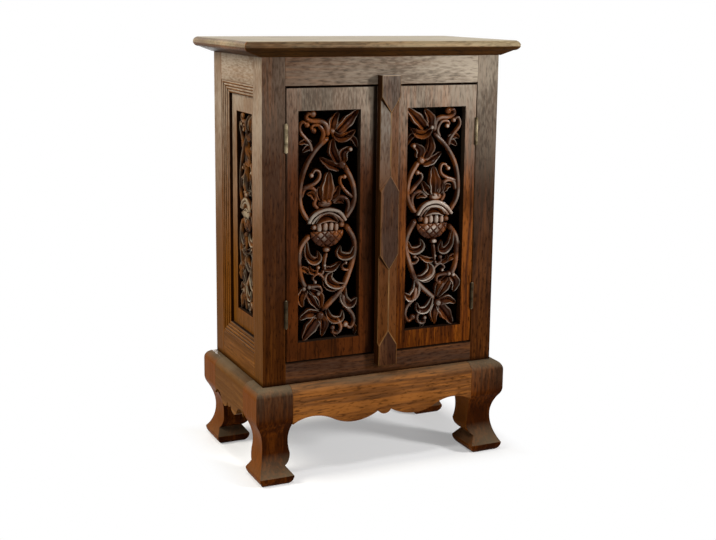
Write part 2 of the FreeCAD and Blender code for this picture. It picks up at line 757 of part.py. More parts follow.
def screw(name, place, heading, length):
    """Makes a countersunk screw with the flat of its head at a place, pointing along a heading."""
    head = doc.addObject("Part::Cone", f"{name}_head")
    bind(head, "Radius1", size("screw_head_diameter") / 2)
    bind(head, "Radius2", size("screw_diameter") / 2)
    bind(head, "Height", size("screw_head_height"))
    shank = doc.addObject("Part::Cylinder", f"{name}_shank")
    bind(shank, "Radius", size("screw_diameter") / 2)
    bind(shank, "Height", length)
    for piece in (head, shank):
        turn = FreeCAD.Rotation(FreeCAD.Vector(0, 0, 1), FreeCAD.Vector(*heading))
        piece.Placement = FreeCAD.Placement(FreeCAD.Vector(), turn)
        locate(piece, *place)
    return union(name, head, shank)


# Hinges: a leaf in the post, a leaf in the door, a pin through the knuckles of both
leaf = size("hinge_leaf_thickness")
barrel = size("knuckle_diameter")
room = barrel + 2 * size("knuckle_clearance")
play = size("knuckle_play")
axis_x = inner_x - size("door_side_gap") / 2
axis_y = -half_depth - size("knuckle_rise")
leaf_back = -half_depth + size("hinge_leaf_depth")
screw_y = -half_depth + size("screw_setback")
frame_screws = []
door_screws = {LEFT: [], RIGHT: []}
pins = {LEFT: [], RIGHT: []}


def hinge(side, level, middle):
    """Makes one butt hinge of a door and the cuts that it needs in post and door."""
    name = f"{SIDE_NAMES[side]}_{level}"
    third = size("hinge_length") / 3
    low, high = middle - size("hinge_length") / 2, middle + size("hinge_length") / 2
    centre = (side * axis_x, axis_y)
    clear = rod(f"{name}_barrel_room", centre, room, low - play, high + play)
    leaves = {
        "frame": (inner_x, inner_x + leaf, side, [(low, low + third), (high - third, high)]),
        "door": (door_edge - leaf, door_edge, -side, [(low + third + play, high - third - play)]),
    }
    for owner, (near, far, heading, knuckles) in leaves.items():
        plate = block(f"{name}_{owner}_plate", (side * near, side * far), (axis_y, leaf_back), (low, high))
        rolls = [
            rod(f"{name}_{owner}_roll_{index}", centre, barrel, start, stop)
            for index, (start, stop) in enumerate(knuckles)
        ]
        if owner == "frame":
            gaps = [rod(f"{name}_frame_gap", centre, room, low + third, high - third)]
            bore = rod(f"{name}_frame_bore", centre, size("pin_diameter"), low, high)
            start_x = side * inner_x
        else:
            gaps = [
                rod(f"{name}_door_gap_low", centre, room, low, low + third + play),
                rod(f"{name}_door_gap_high", centre, room, high - third - play, high),
            ]
            bore = rod(f"{name}_door_bore", centre, size("pin_diameter") + 2 * size("pin_fit"), low, high)
            start_x = side * door_edge
        screws = [
            screw(
                f"{name}_{owner}_screw_{index}",
                (start_x, screw_y, middle + offset * size("screw_spacing") / 2),
                (heading, 0, 0),
                size("screw_length"),
            )
            for index, offset in enumerate((-1, 1))
        ]
        trimmed = cut(f"{name}_{owner}_trimmed", plate, *gaps)
        rolled = union(f"{name}_{owner}_rolled", trimmed, *rolls)
        label = f"{name}_hinge_{owner}_leaf"
        node(label, cut(label, rolled, bore, *screws))
        if owner == "frame":
            post_cuts[side, FRONT].extend([plate, clear, *screws])
            frame_screws.extend(screws)
        else:
            door_cuts[side].extend([plate, clear, *screws])
            door_screws[side].extend(screws)
    tip = size("pin_tip")
    pins[side].append(rod(f"{name}_hinge_pin", centre, size("pin_diameter"), low - tip, high + tip))


for side in (LEFT, RIGHT):
    hinge(side, "upper", door_high - size("hinge_top_margin"))
    hinge(side, "lower", door_low + size("hinge_bottom_margin"))
    group(f"{SIDE_NAMES[side]}_hinge_pins", pins[side])
    group(f"{SIDE_NAMES[side]}_door_hinge_screws", door_screws[side])
group("frame_hinge_screws", frame_screws)

# Cover strip on the right door: three plain blocks joined by stretches chamfered to a ridge
batten_left = meeting_edge[RIGHT]
batten_right = batten_left + size("batten_width")
batten_middle = (batten_left + batten_right) / 2
batten_back = -half_depth
batten_front = batten_back - size("batten_rise")
batten_low = front_rail_top - size("batten_bottom_lap")
batten_high = top_rail_bottom + size("batten_top_lap")
batten_centre = (batten_low + batten_high) / 2
batten_stock = block("batten_stock", (batten_left, batten_right), (batten_front, batten_back),
                     (batten_low, batten_high))


def chamfer_tool(name, edge_x, low, high):
    """Makes the wedge that one chamfer takes off, between the shoulders of two plain blocks."""
    ridge_x = batten_middle.value
    front = batten_front.value
    edge_y = batten_back.value - size("batten_edge_rise").value
    point = size("batten_point").value
    facet = size("batten_facet").value
    ends = []
    for height, way in ((low.value, 1), (high.value, -1)):
        ends.append([
            FreeCAD.Vector(ridge_x, front, height + way * point),
            FreeCAD.Vector(edge_x.value, front, height),
            FreeCAD.Vector(edge_x.value, edge_y, height + way * facet),
        ])
    loops = [*ends]
    for first, second in ((0, 1), (1, 2), (2, 0)):
        loops.append([ends[0][first], ends[0][second], ends[1][second], ends[1][first]])
    faces = [Part.Face(Part.makePolygon([*loop, loop[0]])) for loop in loops]
    tool = doc.addObject("Part::Feature", name)
    tool.Shape = Part.Solid(Part.Shell(faces))
    return tool


half_block = size("batten_middle_block") / 2
stretches = {
    "lower": (batten_low + size("batten_end_block"), batten_centre - half_block),
    "upper": (batten_centre + half_block, batten_high - size("batten_end_block")),
}
chamfers = [
    chamfer_tool(f"batten_chamfer_{place}_{index}", edge, *stretch)
    for place, stretch in stretches.items()
    for index, edge in enumerate((batten_left, batten_right))
]
screw_end = size("batten_end_block") / 2
screw_heights = (door_low + screw_end, batten_centre, door_high - screw_end)
batten_screws = [
    screw(
        f"batten_screw_{index}",
        (batten_middle, door_back, height),
        (0, -1, 0),
        size("batten_screw_length"),
    )
    for index, height in enumerate(screw_heights)
]
door_cuts[RIGHT].extend(batten_screws)
node("door_batten", cut("door_batten", batten_stock, *chamfers, *batten_screws))
group("batten_screws", batten_screws)

for side in (LEFT, RIGHT):
    label = f"{SIDE_NAMES[side]}_door_leaf"
    edge, meet = side * door_edge, meeting_edge[side]
    slope = meet + side * size("meeting_bevel")
    corners = [(edge, door_front), (edge, door_back), (slope, door_back), (meet, door_front)]
    board = prism(f"{label}_board", "z", door_low, door_high, corners)
    node(label, cut(label, board, *door_cuts[side]))

# Top board: a rounded nose over a bevel that runs down to the carcass
top_side = half_width + size("top_side_overhang")
top_front = half_depth + size("top_front_overhang")
top_back = half_depth + size("top_back_overhang")
nose_bottom = size("overall_height") - size("top_nose")


def rectangle(body, right, front, back, level):
    """Draws a rectangle about the Y axis at one height of a body."""
    sketch = draw(body, "XY_Plane", [(-right, -front), (right, -front), (right, back), (-right, back)])
    bind(sketch, "AttachmentOffset.Base.z", level)
    return sketch


bevel_body = doc.addObject("PartDesign::Body", "top_bevel_body")
margin, nose_round = size("top_seat_margin"), size("top_nose_round")
seat = rectangle(bevel_body, half_width + margin, half_depth + margin, half_depth + margin, body_top)
brow = rectangle(
    bevel_body, top_side - nose_round, top_front - nose_round, top_back - nose_round, nose_bottom
)
bevel = bevel_body.newObject("PartDesign::AdditiveLoft", "top_bevel")
bevel.Profile = seat
bevel.Sections = [brow]
bevel.Ruled = True
bevel_body.Tip = bevel

slab_body = doc.addObject("PartDesign::Body", "top_slab_body")
slab = slab_body.newObject("PartDesign::Pad", "top_slab")
slab.Profile = rectangle(slab_body, top_side, top_front, top_back, nose_bottom)
bind(slab, "Length", size("top_nose"))
slab_body.Tip = slab
doc.recompute()
level_edges = [
    f"Edge{index}"
    for index, edge in enumerate(slab.Shape.Edges, start=1)
    if not round(edge.tangentAt(edge.FirstParameter).z)
]
nose = slab_body.newObject("PartDesign::Fillet", "top_nose_fillet")
nose.Base = (slab, level_edges)
bind(nose, "Radius", nose_round)
slab_body.Tip = nose
top_stock = union("top_stock", slab_body, bevel_body)
dowels = []
for side in (LEFT, RIGHT):
    for end in (FRONT, BACK):
        centre = (side * (half_width - post / 2), end * (half_depth - post / 2))
        low, high = body_top - size("dowel_in_post"), body_top + size("dowel_in_top")
        dowel = rod(f"dowel_{side}_{end}", centre, size("dowel_diameter"), low, high)
        dowels.append(dowel)
        post_cuts[side, end].append(dowel)
node("top_board", cut("top_board", top_stock, *dowels))
group("top_dowels", dowels)

# Bracket base: aprons tenoned between the legs
apron_back_x = shoulder_x - size("apron_thickness")
apron_back_y = shoulder_y - size("apron_thickness")
base_round = size("shoulder_round")


def rise_radius(run, rise):
    """Gives the radius of an arc that leaves level and climbs by rise over run."""
    return (run * run + rise * rise) / (2 * rise)


def scallop(reach, arch_distance, lobe_distance, cusp_distance):
    """Gives the outline of an apron, with arches, lobes, notches and a pendant along its edge."""
    spring, arch = size("apron_spring_height"), size("apron_arch_height")
    lobe, cusp = size("apron_lobe_height"), size("apron_cusp_height")
    pendant = size("apron_pendant_height")
    arch_at = reach - arch_distance
    half_run, half_fall = (arch_at - lobe_distance) / 2, (arch - lobe) / 2
    turn_at, turn_up = lobe_distance + half_run, lobe + half_fall
    swing = rise_radius(half_run, half_fall)
    leg_arc = rise_radius(arch_distance, arch - spring)
    lobe_arc = rise_radius(lobe_distance - cusp_distance, cusp - lobe)
    drop = rise_radius(cusp_distance, cusp - pendant)
    return [
        (-reach, body_bottom),
        (-reach, spring),
        (-arch_at, arch, leg_arc, -1),
        (-turn_at, turn_up, swing, -1),
        (-lobe_distance, lobe, swing, 1),
        (-cusp_distance, cusp, lobe_arc, 1),
        (cusp_distance, cusp, drop, 1),
        (lobe_distance, lobe, lobe_arc, 1),
        (turn_at, turn_up, swing, 1),
        (arch_at, arch, swing, -1),
        (reach, spring, leg_arc, -1),
        (reach, body_bottom),
    ]


def rounded_board(end, outer, inner):
    """Gives the section of a board whose outer top edge is a quarter round."""
    low = size("apron_lobe_height")
    return [
        (end * inner, low),
        (end * outer, low),
        (end * outer, body_bottom - base_round),
        (end * (outer - base_round), body_bottom, base_round, end),
        (end * inner, body_bottom),
    ]


leg_cuts = {(side, end): [] for side in (LEFT, RIGHT) for end in (FRONT, BACK)}
tongue_low = size("apron_arch_height") + size("apron_tenon_shoulder")
tongue_high = body_bottom - base_round - size("apron_tenon_shoulder") / 2


def apron(label, axis, way):
    """Makes one apron with its tenons: axis is the way it runs, way is the side that it is on."""
    along_x = axis == "x"
    reach = leg_inner_x if along_x else leg_inner_y
    outer, inner = (shoulder_y, apron_back_y) if along_x else (shoulder_x, apron_back_x)
    kind = "front" if along_x else "side"
    edge = scallop(
        reach,
        size(f"{kind}_arch_distance"),
        size(f"{kind}_lobe_distance"),
        size(f"{kind}_cusp_distance"),
    )
    low, high = ordered((way * inner, way * outer))
    face = prism(f"{label}_face", "y" if along_x else "x", low, high, edge)
    section = rounded_board(way, outer, inner)
    run = prism(f"{label}_section", axis, -reach, reach, section)
    board = common(f"{label}_board", face, run)
    tongue_middle = way * (outer + inner) / 2
    half = size("apron_tenon_thickness") / 2
    across = (tongue_middle - half, tongue_middle + half)
    long_way = (-reach - size("apron_tenon_length"), reach + size("apron_tenon_length"))
    spans = (long_way, across) if along_x else (across, long_way)
    tongue = block(f"{label}_tongue", *spans, (tongue_low, tongue_high))
    node(label, union(label, board, tongue))
    for other in (LEFT, RIGHT):
        leg_cuts[(other, way) if along_x else (way, other)].append(tongue)


apron("front_apron", "x", FRONT)
apron("back_apron", "x", BACK)
apron("left_apron", "y", LEFT)
apron("right_apron", "y", RIGHT)


def leg_profile(way, outer, foot_outer):
    """Gives the outline of a leg seen from one side, from its outer face inwards.

    way is -1 or 1 for the side of the cabinet that the leg is on, outer is the shoulder face
    and foot_outer is the outer face of the foot.
    """
    inner = outer - size("leg_side")
    neck, neck_up = size("neck_inset"), size("neck_height")
    turn, hollow = size("leg_shoulder_radius"), size("leg_hollow_radius")
    both = turn + hollow
    turn_up = neck_up + root(both * both - (both - neck) * (both - neck))
    meet = turn * neck / both
    meet_up = turn_up - (turn_up - neck_up) * turn / both
    foot_up, tuck = size("foot_edge_height"), size("foot_tuck")
    sole_turn = rise_radius(foot_up, tuck)
    foot_inset = outer - foot_outer
    flare = rise_radius(neck_up - foot_up, neck - foot_inset)
    knee_up, ankle_up = size("knee_height"), size("ankle_height")
    knee_fall = rise_radius((size("knee_top_height") - knee_up) / 2, size("knee_hollow"))
    ankle = inner + size("ankle_depth")
    return [
        (way * inner, body_bottom),
        (way * inner, size("knee_top_height")),
        (way * inner, knee_up, knee_fall, -way),
        (way * ankle, ankle_up, size("knee_radius"), way),
        (way * inner, foot_up),
        (way * (inner + tuck), as_measure(0), sole_turn, way),
        (way * (foot_outer - tuck), as_measure(0)),
        (way * foot_outer, foot_up, sole_turn, way),
        (way * (outer - neck), neck_up, flare, -way),
        (way * (outer - meet), meet_up, hollow, -way),
        (way * outer, turn_up, turn, way),
        (way * outer, body_bottom - base_round),
        (way * (outer - base_round), body_bottom, base_round, way),
    ]


foot_x = shoulder_x - size("foot_side_inset")
foot_y = shoulder_y + size("foot_end_projection")
for side in (LEFT, RIGHT):
    for end in (FRONT, BACK):
        place = f"{END_NAMES[end]}_{SIDE_NAMES[side]}"
        label = f"{place}_leg"
        # Each view is padded from the middle of the cabinet to past the widest part of the other one
        reach_x, reach_y = shoulder_x + size("leg_side"), shoulder_y + size("leg_side")
        seen_front = prism(f"{label}_front_view", "y", *ordered((0, end * reach_y)),
                           leg_profile(side, shoulder_x, foot_x))
        seen_side = prism(f"{label}_side_view", "x", *ordered((0, side * reach_x)),
                          leg_profile(end, shoulder_y, foot_y))
        carved = common(f"{label}_carved", seen_front, seen_side)
        post_x = (side * half_width, side * inner_x)
        post_y = (end * half_depth, end * inner_y)
        middle_x, middle_y = side * (half_width - post / 2), end * (half_depth - post / 2)
        half = size("post_tenon_side") / 2
        stub = block(
            f"{place}_post_stub",
            (middle_x - half, middle_x + half),
            (middle_y - half, middle_y + half),
            (body_bottom - size("post_tenon_length"), body_bottom),
        )
        node(label, cut(label, carved, stub, *leg_cuts[side, end]))
        stock = block(f"{place}_post_stock", post_x, post_y, (body_bottom, body_top))
        whole = union(f"{place}_post_whole", stock, stub)
        label = f"{place}_post"
        node(label, cut(label, whole, *post_cuts[side, end]))

doc.recompute()

faults = [piece.Label for piece in doc.Objects if {"Invalid", "Error"} & set(piece.State)]
for piece in NODES:
    shape = piece.Shape
    if shape.isNull() or not shape.isValid() or not shape.Solids:
        faults.append(piece.Label)
    elif piece.TypeId != "Part::Compound" and len(shape.Solids) != 1:
        faults.append(f"{piece.Label} is in {len(shape.Solids)} pieces")
if faults:
    raise RuntimeError(f"pieces that failed: {faults}")

os.makedirs("parts", exist_ok=True)
for piece in NODES:
    piece.Shape.exportStep(f"parts/{piece.Label}.step")
    print(f"{piece.Label}: {len(piece.Shape.Solids)} solid(s), {piece.Shape.Volume / 1000:.1f} cm3")
print(f"{len(NODES)} sub-parts written")
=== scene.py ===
"""Carved bedside cabinet, dressed for its portrait.

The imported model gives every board, hinge and screw at its real place. This script eases and
stains the boards, carves the four pierced panels, lines the sides with cloth, dulls the brass
and sets a small studio around the cabinet. Lengths are metres, unless a name ends in _mm.
"""
import json
import logging
import math
import random
from abc import ABC, abstractmethod
from collections.abc import Callable
from dataclasses import dataclass, fields
from enum import Enum
from functools import partial

import bmesh
import bpy
from mathutils import Matrix, Vector

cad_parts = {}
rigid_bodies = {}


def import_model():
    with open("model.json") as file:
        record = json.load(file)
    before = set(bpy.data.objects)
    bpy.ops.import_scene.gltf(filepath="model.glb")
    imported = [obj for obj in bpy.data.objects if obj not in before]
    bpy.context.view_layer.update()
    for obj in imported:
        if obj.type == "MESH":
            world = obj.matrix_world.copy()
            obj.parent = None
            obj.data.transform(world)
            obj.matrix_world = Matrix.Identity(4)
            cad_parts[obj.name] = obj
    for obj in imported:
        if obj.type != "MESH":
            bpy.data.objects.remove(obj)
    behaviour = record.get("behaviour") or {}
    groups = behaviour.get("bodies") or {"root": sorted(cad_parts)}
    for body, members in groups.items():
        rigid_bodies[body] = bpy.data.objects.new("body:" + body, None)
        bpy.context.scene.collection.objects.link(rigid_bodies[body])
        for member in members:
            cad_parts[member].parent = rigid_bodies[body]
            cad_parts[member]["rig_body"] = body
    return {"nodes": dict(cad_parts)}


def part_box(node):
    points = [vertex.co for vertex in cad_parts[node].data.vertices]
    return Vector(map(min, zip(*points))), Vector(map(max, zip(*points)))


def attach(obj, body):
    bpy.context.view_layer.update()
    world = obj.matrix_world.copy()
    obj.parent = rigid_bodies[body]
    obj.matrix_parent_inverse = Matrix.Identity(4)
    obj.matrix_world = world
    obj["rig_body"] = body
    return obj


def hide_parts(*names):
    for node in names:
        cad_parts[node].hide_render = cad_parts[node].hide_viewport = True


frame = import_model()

MM = 0.001
WELD_MM = 0.01
WHITE = "#ffffff"
SMOOTH = "SMOOTHSTEP"
SIDES = ("left", "right")
LOG = logging.getLogger("carved_cabinet")

Point = tuple[float, float]
Triple = tuple[float, float, float]
Colour = tuple[float, float, float, float]
# Two values of a pattern, and the shares that it gives at these
Band = tuple[float, float, float, float]
# Sockets of the mix node, which has a set for each type of data
FACTOR, NUMBER_A, NUMBER_B, COLOUR_A, COLOUR_B = 0, 2, 3, 6, 7
COLOUR_OUT = 2
Socket = bpy.types.NodeSocket
Adder = Callable[..., Socket]


def linear(hex_code: str) -> Colour:
    """Turns an sRGB colour into the linear one that shaders take.

    Args:
        hex_code: colour as "#rrggbb".

    Returns:
        Linear red, green, blue and an alpha of 1.
    """
    parts = [int(hex_code[start:start + 2], 16) / 255 for start in (1, 3, 5)]
    lit = [part / 12.92 if part <= 0.04045 else ((part + 0.055) / 1.055) ** 2.4 for part in parts]
    return (lit[0], lit[1], lit[2], 1.0)


def metres(*lengths_mm: float) -> list[float]:
    """Turns millimetres into metres."""
    return [length * MM for length in lengths_mm]


def add_node(
    tree: bpy.types.NodeTree,
    kind: str,
    inputs: dict | tuple = (),
    out: int | str = 0,
    stops: tuple[tuple[float, str], ...] = (),
    **settings: object,
) -> Socket:
    """Adds one shader node with its settings, values and links.

    Args:
        tree: node tree that takes the node.
        kind: node type, without the first word that all share.
        inputs: value or linked socket for each input, by name or number, or in the node's order.
        out: the output that is wanted.
        stops: places and sRGB colours of a colour ramp.
        settings: properties of the node itself.

    Returns:
        The wanted output.
    """
    node = tree.nodes.new(f"ShaderNode{kind}")
    for name, value in settings.items():
        setattr(node, name, value)
    for name, value in inputs.items() if isinstance(inputs, dict) else enumerate(inputs):
        if isinstance(value, Socket):
            tree.links.new(value, node.inputs[name])
        else:
            node.inputs[name].default_value = value
    for index, (position, colour) in enumerate(stops):
        ramp = node.color_ramp.elements
        element = ramp[index] if index < len(ramp) else ramp.new(1.0)
        element.position = position
        element.color = linear(colour)
    return node.outputs[out]


def lay_out(tree: bpy.types.NodeTree, end: str, surface: Callable[[Adder], Socket]) -> None:
    """Fills a node tree with a surface, and links that to the tree's end.

    Args:
        tree: node tree of a material or of the world.
        end: node type of its end.
        surface: lays out the nodes and gives the shader.
    """
    tree.nodes.clear()
    shader = surface(partial(add_node, tree))
    tree.links.new(shader, tree.nodes.new(end).inputs["Surface"])


def direct_rays(add: Adder) -> Socket:
    """Tells rays that show a surface from rays that only carry its light.

    Args:
        add: adds a node to the tree.

    Returns:
        1 where the surface is seen straight, mirrored or through something, else 0.
    """
    seen = add("LightPath", out="Is Camera Ray")
    for ray in ("Is Glossy Ray", "Is Transmission Ray"):
        seen = add("Math", (seen, add("LightPath", out=ray)), operation="MAXIMUM")
    return seen


@dataclass(frozen=True)
class Pattern:
    """Cloudy pattern: the spacing of its clouds, how fine they break up and how far they bend."""

    spacing_mm: float
    detail: float = 2.0
    bend: float = 0.0

    def on(self, place: Socket) -> dict[str, object]:
        """Gives the inputs of a noise texture that draw the pattern on a place."""
        scale = 1 / (self.spacing_mm * MM)
        return {"Vector": place, "Scale": scale, "Detail": self.detail, "Distortion": self.bend}


@dataclass(frozen=True)
class Roughening:
    """Fine unevenness of a surface: its strength and its depth."""

    strength: float
    depth_mm: float

    def of(self, height: Socket) -> dict[str, object]:
        """Gives the inputs that raise a pattern."""
        return {"Strength": self.strength, "Distance": self.depth_mm * MM, "Height": height}


class Finish(ABC):
    """Look of a real material, laid out as shader nodes."""

    name: str

    @abstractmethod
    def surface(self, add: Adder) -> Socket:
        """Lays out the nodes of the finish.

        Args:
            add: adds a node to the finish.

        Returns:
            The surface shader.
        """

    def material(self) -> bpy.types.Material:
        """Builds the finish as a node material.

        Returns:
            The new material.
        """
        material = bpy.data.materials.new(self.name)
        material.use_nodes = True
        lay_out(material.node_tree, "ShaderNodeOutputMaterial", self.surface)
        return material


class Grain(Enum):
    """Way that the grain of a board runs, as the share of each axis in its pattern."""

    UPRIGHT = (1.0, 1.0, 0.05)
    ACROSS = (0.05, 1.0, 1.0)
    DEEP = (1.0, 0.05, 1.0)


@dataclass(frozen=True)
class StainedHardwood(Finish):
    """Open-pored hardwood, stained brown, wiped and lacquered to a satin sheen.

    The eye sees long streaks along the grain, short dark pores, blotches where the stain took and
    warm wood where edges were rubbed through. Over these lie painted sheen higher up and towards
    the right, dust with painted sheen where faces look up, painted warm light on side faces,
    painted highlights on chamfers, painted shade in hollows and under ledges, and the painted
    shadow of the cover strip. Pores are drawn several times as wide as real ones, or they
    wouldn't show.
    """

    name: str
    grain: Grain
    # Colours of the stain, of pores and of the painted shade that takes their colour, of rubbed edges,
    # of painted sheen and of painted warm light
    dark: str = "#2c1304"
    middle: str = "#402008"
    warm: str = "#58300c"
    pore: str = "#0d0401"
    worn: str = "#6a3d1a"
    bloom: str = "#978b7b"
    amber: str = "#8f5c1c"
    # Patterns of the grain, and the shift that makes each board another piece of the tree
    figure: Pattern = Pattern(26.0, 3.0, 0.8)
    streak: Pattern = Pattern(4.0, 3.0, 0.3)
    fleck: Pattern = Pattern(2.8, 2.0, 0.2)
    blotch: Pattern = Pattern(90.0)
    fleck_stretch: float = 0.5
    apart: Triple = (1.7, 2.9, 1.3)
    streak_share: float = 0.45
    board_shade: float = 0.05
    stain_stops: Triple = (0.41, 0.50, 0.60)
    patches: Band = (0.42, 0.66, 0.0, 0.55)
    pores: Band = (0.54, 0.70, 0.0, 0.7)
    # Painted sheen grows with height, more to the right, and starts lower down on the side walls
    bloom_mm: Point = (430.0, 690.0)
    bloom_share: float = 0.5
    bloom_left: float = 0.4
    bloom_reach_mm: float = 200.0
    broken_bloom: Band = (1.18, 0.82, 0.46, 1.1)
    side_from_mm: float = 300.0
    side_share: float = 0.74
    side_face: Band = (0.5, 0.9, 0.0, 1.0)
    open_face: Band = (-0.3, 0.0, 0.0, 1.0)
    # Painted warm light on side faces
    amber_share: float = 0.22
    # Weaker painted sheen further down, and dust with painted sheen on faces that look up
    film_mm: Point = (200.0, 420.0)
    film_share: float = 0.03
    dust_facing: Point = (0.2, 0.95)
    dust_share: float = 0.22
    settled: Band = (0.35, 0.65, 0.45, 1.0)
    # Wear by hands, painted highlights, the painted shadow of the cover strip along a door's meeting
    # edge, and darkening just above the floor of the body
    wear_least: float = 0.0
    wear_most: float = 0.7
    wear_blotch: Point = (0.40, 0.65)
    rub_from: float = 0.3
    rub_gain: float = 1.6
    rub_amber: float = 0.0
    soil_mm: Point | None = None
    soil_share: float = 0.95
    sill_mm: Point | None = None
    sill_share: float = 0.8
    # Sheen
    roughness: float = 0.30
    uneven: Point = (0.12, -0.04)
    uneven_tone: Point = (0.3, 0.7)
    # Rougher under the painted shade
    wax_dull: float = 0.6
    gloss: float = 0.006
    gloss_tint: str = "#ffd2a0"
    bump: Roughening = Roughening(0.35, 0.4)

    def surface(self, add: Adder) -> Socket:
        """Lays out the stained grain, its wear and dust, painted sheen, highlights and shade, and the
        real sheen.

        Args:
            add: adds a node to the finish.

        Returns:
            The surface shader.
        """
        place = add("TexCoord", out="Object")
        across, height = (add("SeparateXYZ", (place,), axis) for axis in "XZ")
        normal = add("NewGeometry", out="Normal")
        sideways, upward = (add("SeparateXYZ", (normal,), axis) for axis in "XZ")
        # Layers set on each face: painted highlight, wear and painted shade
        layers = ("board", "painted_highlight", "wear", "painted_shade")
        board, painted_highlight, wear, painted_shade = (add("Attribute", out="Fac", attribute_name=layer) for layer in layers)
        # Grain
        shift = add("VectorMath", {"Vector": self.apart, "Scale": board}, operation="SCALE")
        own = add("VectorMath", (place, shift))
        long_grain, short_grain = (
            add("Mapping", {"Vector": own, "Scale": [part ** stretch for part in self.grain.value]})
            for stretch in (1.0, self.fleck_stretch)
        )
        figure = add("TexNoise", self.figure.on(long_grain), "Fac")
        streak = add("TexNoise", self.streak.on(long_grain), "Fac")
        fleck = add("TexNoise", self.fleck.on(short_grain), "Fac")
        blotch = add("TexNoise", self.blotch.on(own), "Fac")
        tone = add("Mix", {FACTOR: self.streak_share, NUMBER_A: figure, NUMBER_B: streak})
        shade = add("MapRange", (board, 0.0, 1.0, -self.board_shade, self.board_shade))
        tone = add("Math", (tone, shade), operation="ADD")
        patches = add("MapRange", (blotch, *self.patches))
        pores = add("MapRange", (fleck, *self.pores))
        # Painted warm light on side faces, and amber painted highlights where a board carries them
        side_face = add("MapRange", (add("Math", (sideways,), operation="ABSOLUTE"), *self.side_face))
        painted_side_light = add("Math", (side_face, self.amber_share), operation="MULTIPLY")
        painted_amber = add("MapRange", (painted_highlight, 0.0, self.rub_from, 0.0, self.rub_amber))
        # Painted sheen, broken up by pores and blotches, and dust with painted sheen on faces that look
        # up
        span = (*metres(*self.bloom_mm), 0.0, self.bloom_share)
        bloom = add("MapRange", (height, *span), interpolation_type=SMOOTH)
        reach = metres(-self.bloom_reach_mm, self.bloom_reach_mm)
        lit = add("MapRange", (across, *reach, self.bloom_left, 2.0 - self.bloom_left))
        gain = add("MapRange", (painted_highlight, self.rub_from, 1.0, 1.0, self.rub_gain))
        gain = add("Math", (lit, gain), operation="MULTIPLY")
        low_sheen = add("MapRange", (height, *metres(*self.film_mm), 0.0, self.film_share))
        bloom = add("Math", (bloom, gain, low_sheen), operation="MULTIPLY_ADD")
        span = (*metres(self.side_from_mm, self.bloom_mm[1]), 0.0, self.side_share)
        side_painted_sheen = add("MapRange", (height, *span), interpolation_type=SMOOTH)
        bloom = add("Mix", {FACTOR: side_face, NUMBER_A: bloom, NUMBER_B: side_painted_sheen})
        open_face = add("MapRange", (upward, *self.open_face))
        bloom = add("Math", (bloom, open_face), operation="MULTIPLY")
        broken = add("MapRange", (add("Math", (fleck, blotch), operation="ADD"), *self.broken_bloom))
        dust_and_sheen = add("MapRange", (upward, *self.dust_facing, 0.0, self.dust_share))
        settled = add("MapRange", (blotch, *self.settled))
        dust_and_sheen = add("Math", (dust_and_sheen, settled), operation="MULTIPLY")
        painted_sheen_and_dust = add("Math", (bloom, broken, dust_and_sheen), operation="MULTIPLY_ADD")
        # Worn edges, painted shade, the painted shadow of the cover strip, and darkening above the floor
        # of the body
        rubbed = add("MapRange", (blotch, *self.wear_blotch, self.wear_least, self.wear_most))
        wear = add("Math", (wear, rubbed), operation="MULTIPLY")
        # Painted shadow of the cover strip along the left door's meeting edge
        if self.soil_mm:
            span = (*metres(*self.soil_mm), 0.0, self.soil_share)
            darkening = add("MapRange", (across, *span), interpolation_type=SMOOTH)
            painted_shade = add("Math", (painted_shade, darkening), operation="MAXIMUM")
        # Darker just above the floor of the body
        if self.sill_mm:
            darkening = add("MapRange", (height, *metres(*self.sill_mm), self.sill_share, 0.0))
            painted_shade = add("Math", (painted_shade, darkening), operation="MAXIMUM")
        stains = zip(self.stain_stops, (self.dark, self.middle, self.warm))
        wood = add("ValToRGB", (tone,), stops=tuple(stains))
        # Tints over the stain: amber painted highlights, dark patches, pores, painted warm side light,
        # painted sheen with dust, worn edges, and painted shade in the colour of the pores
        for share, tint in (
            (painted_amber, self.amber),
            (patches, self.dark),
            (pores, self.pore),
            (painted_side_light, self.amber),
            (painted_sheen_and_dust, self.bloom),
            (wear, self.worn),
            (painted_shade, self.pore),
        ):
            tints = {FACTOR: share, COLOUR_A: wood, COLOUR_B: linear(tint)}
            wood = add("Mix", tints, COLOUR_OUT, data_type="RGBA")
        # Sheen, duller under painted shade
        ends = [self.roughness + change for change in self.uneven]
        sheen = add("MapRange", (tone, *self.uneven_tone, *ends))
        sheen = add("Math", (painted_shade, self.wax_dull, sheen), operation="MULTIPLY_ADD")
        relief = add("Math", (streak, pores), operation="SUBTRACT")
        return add("BsdfPrincipled", {
            "Base Color": wood,
            "Roughness": sheen,
            "Specular IOR Level": self.gloss,
            "Specular Tint": linear(self.gloss_tint),
            "Normal": add("Bump", self.bump.of(relief)),
        })


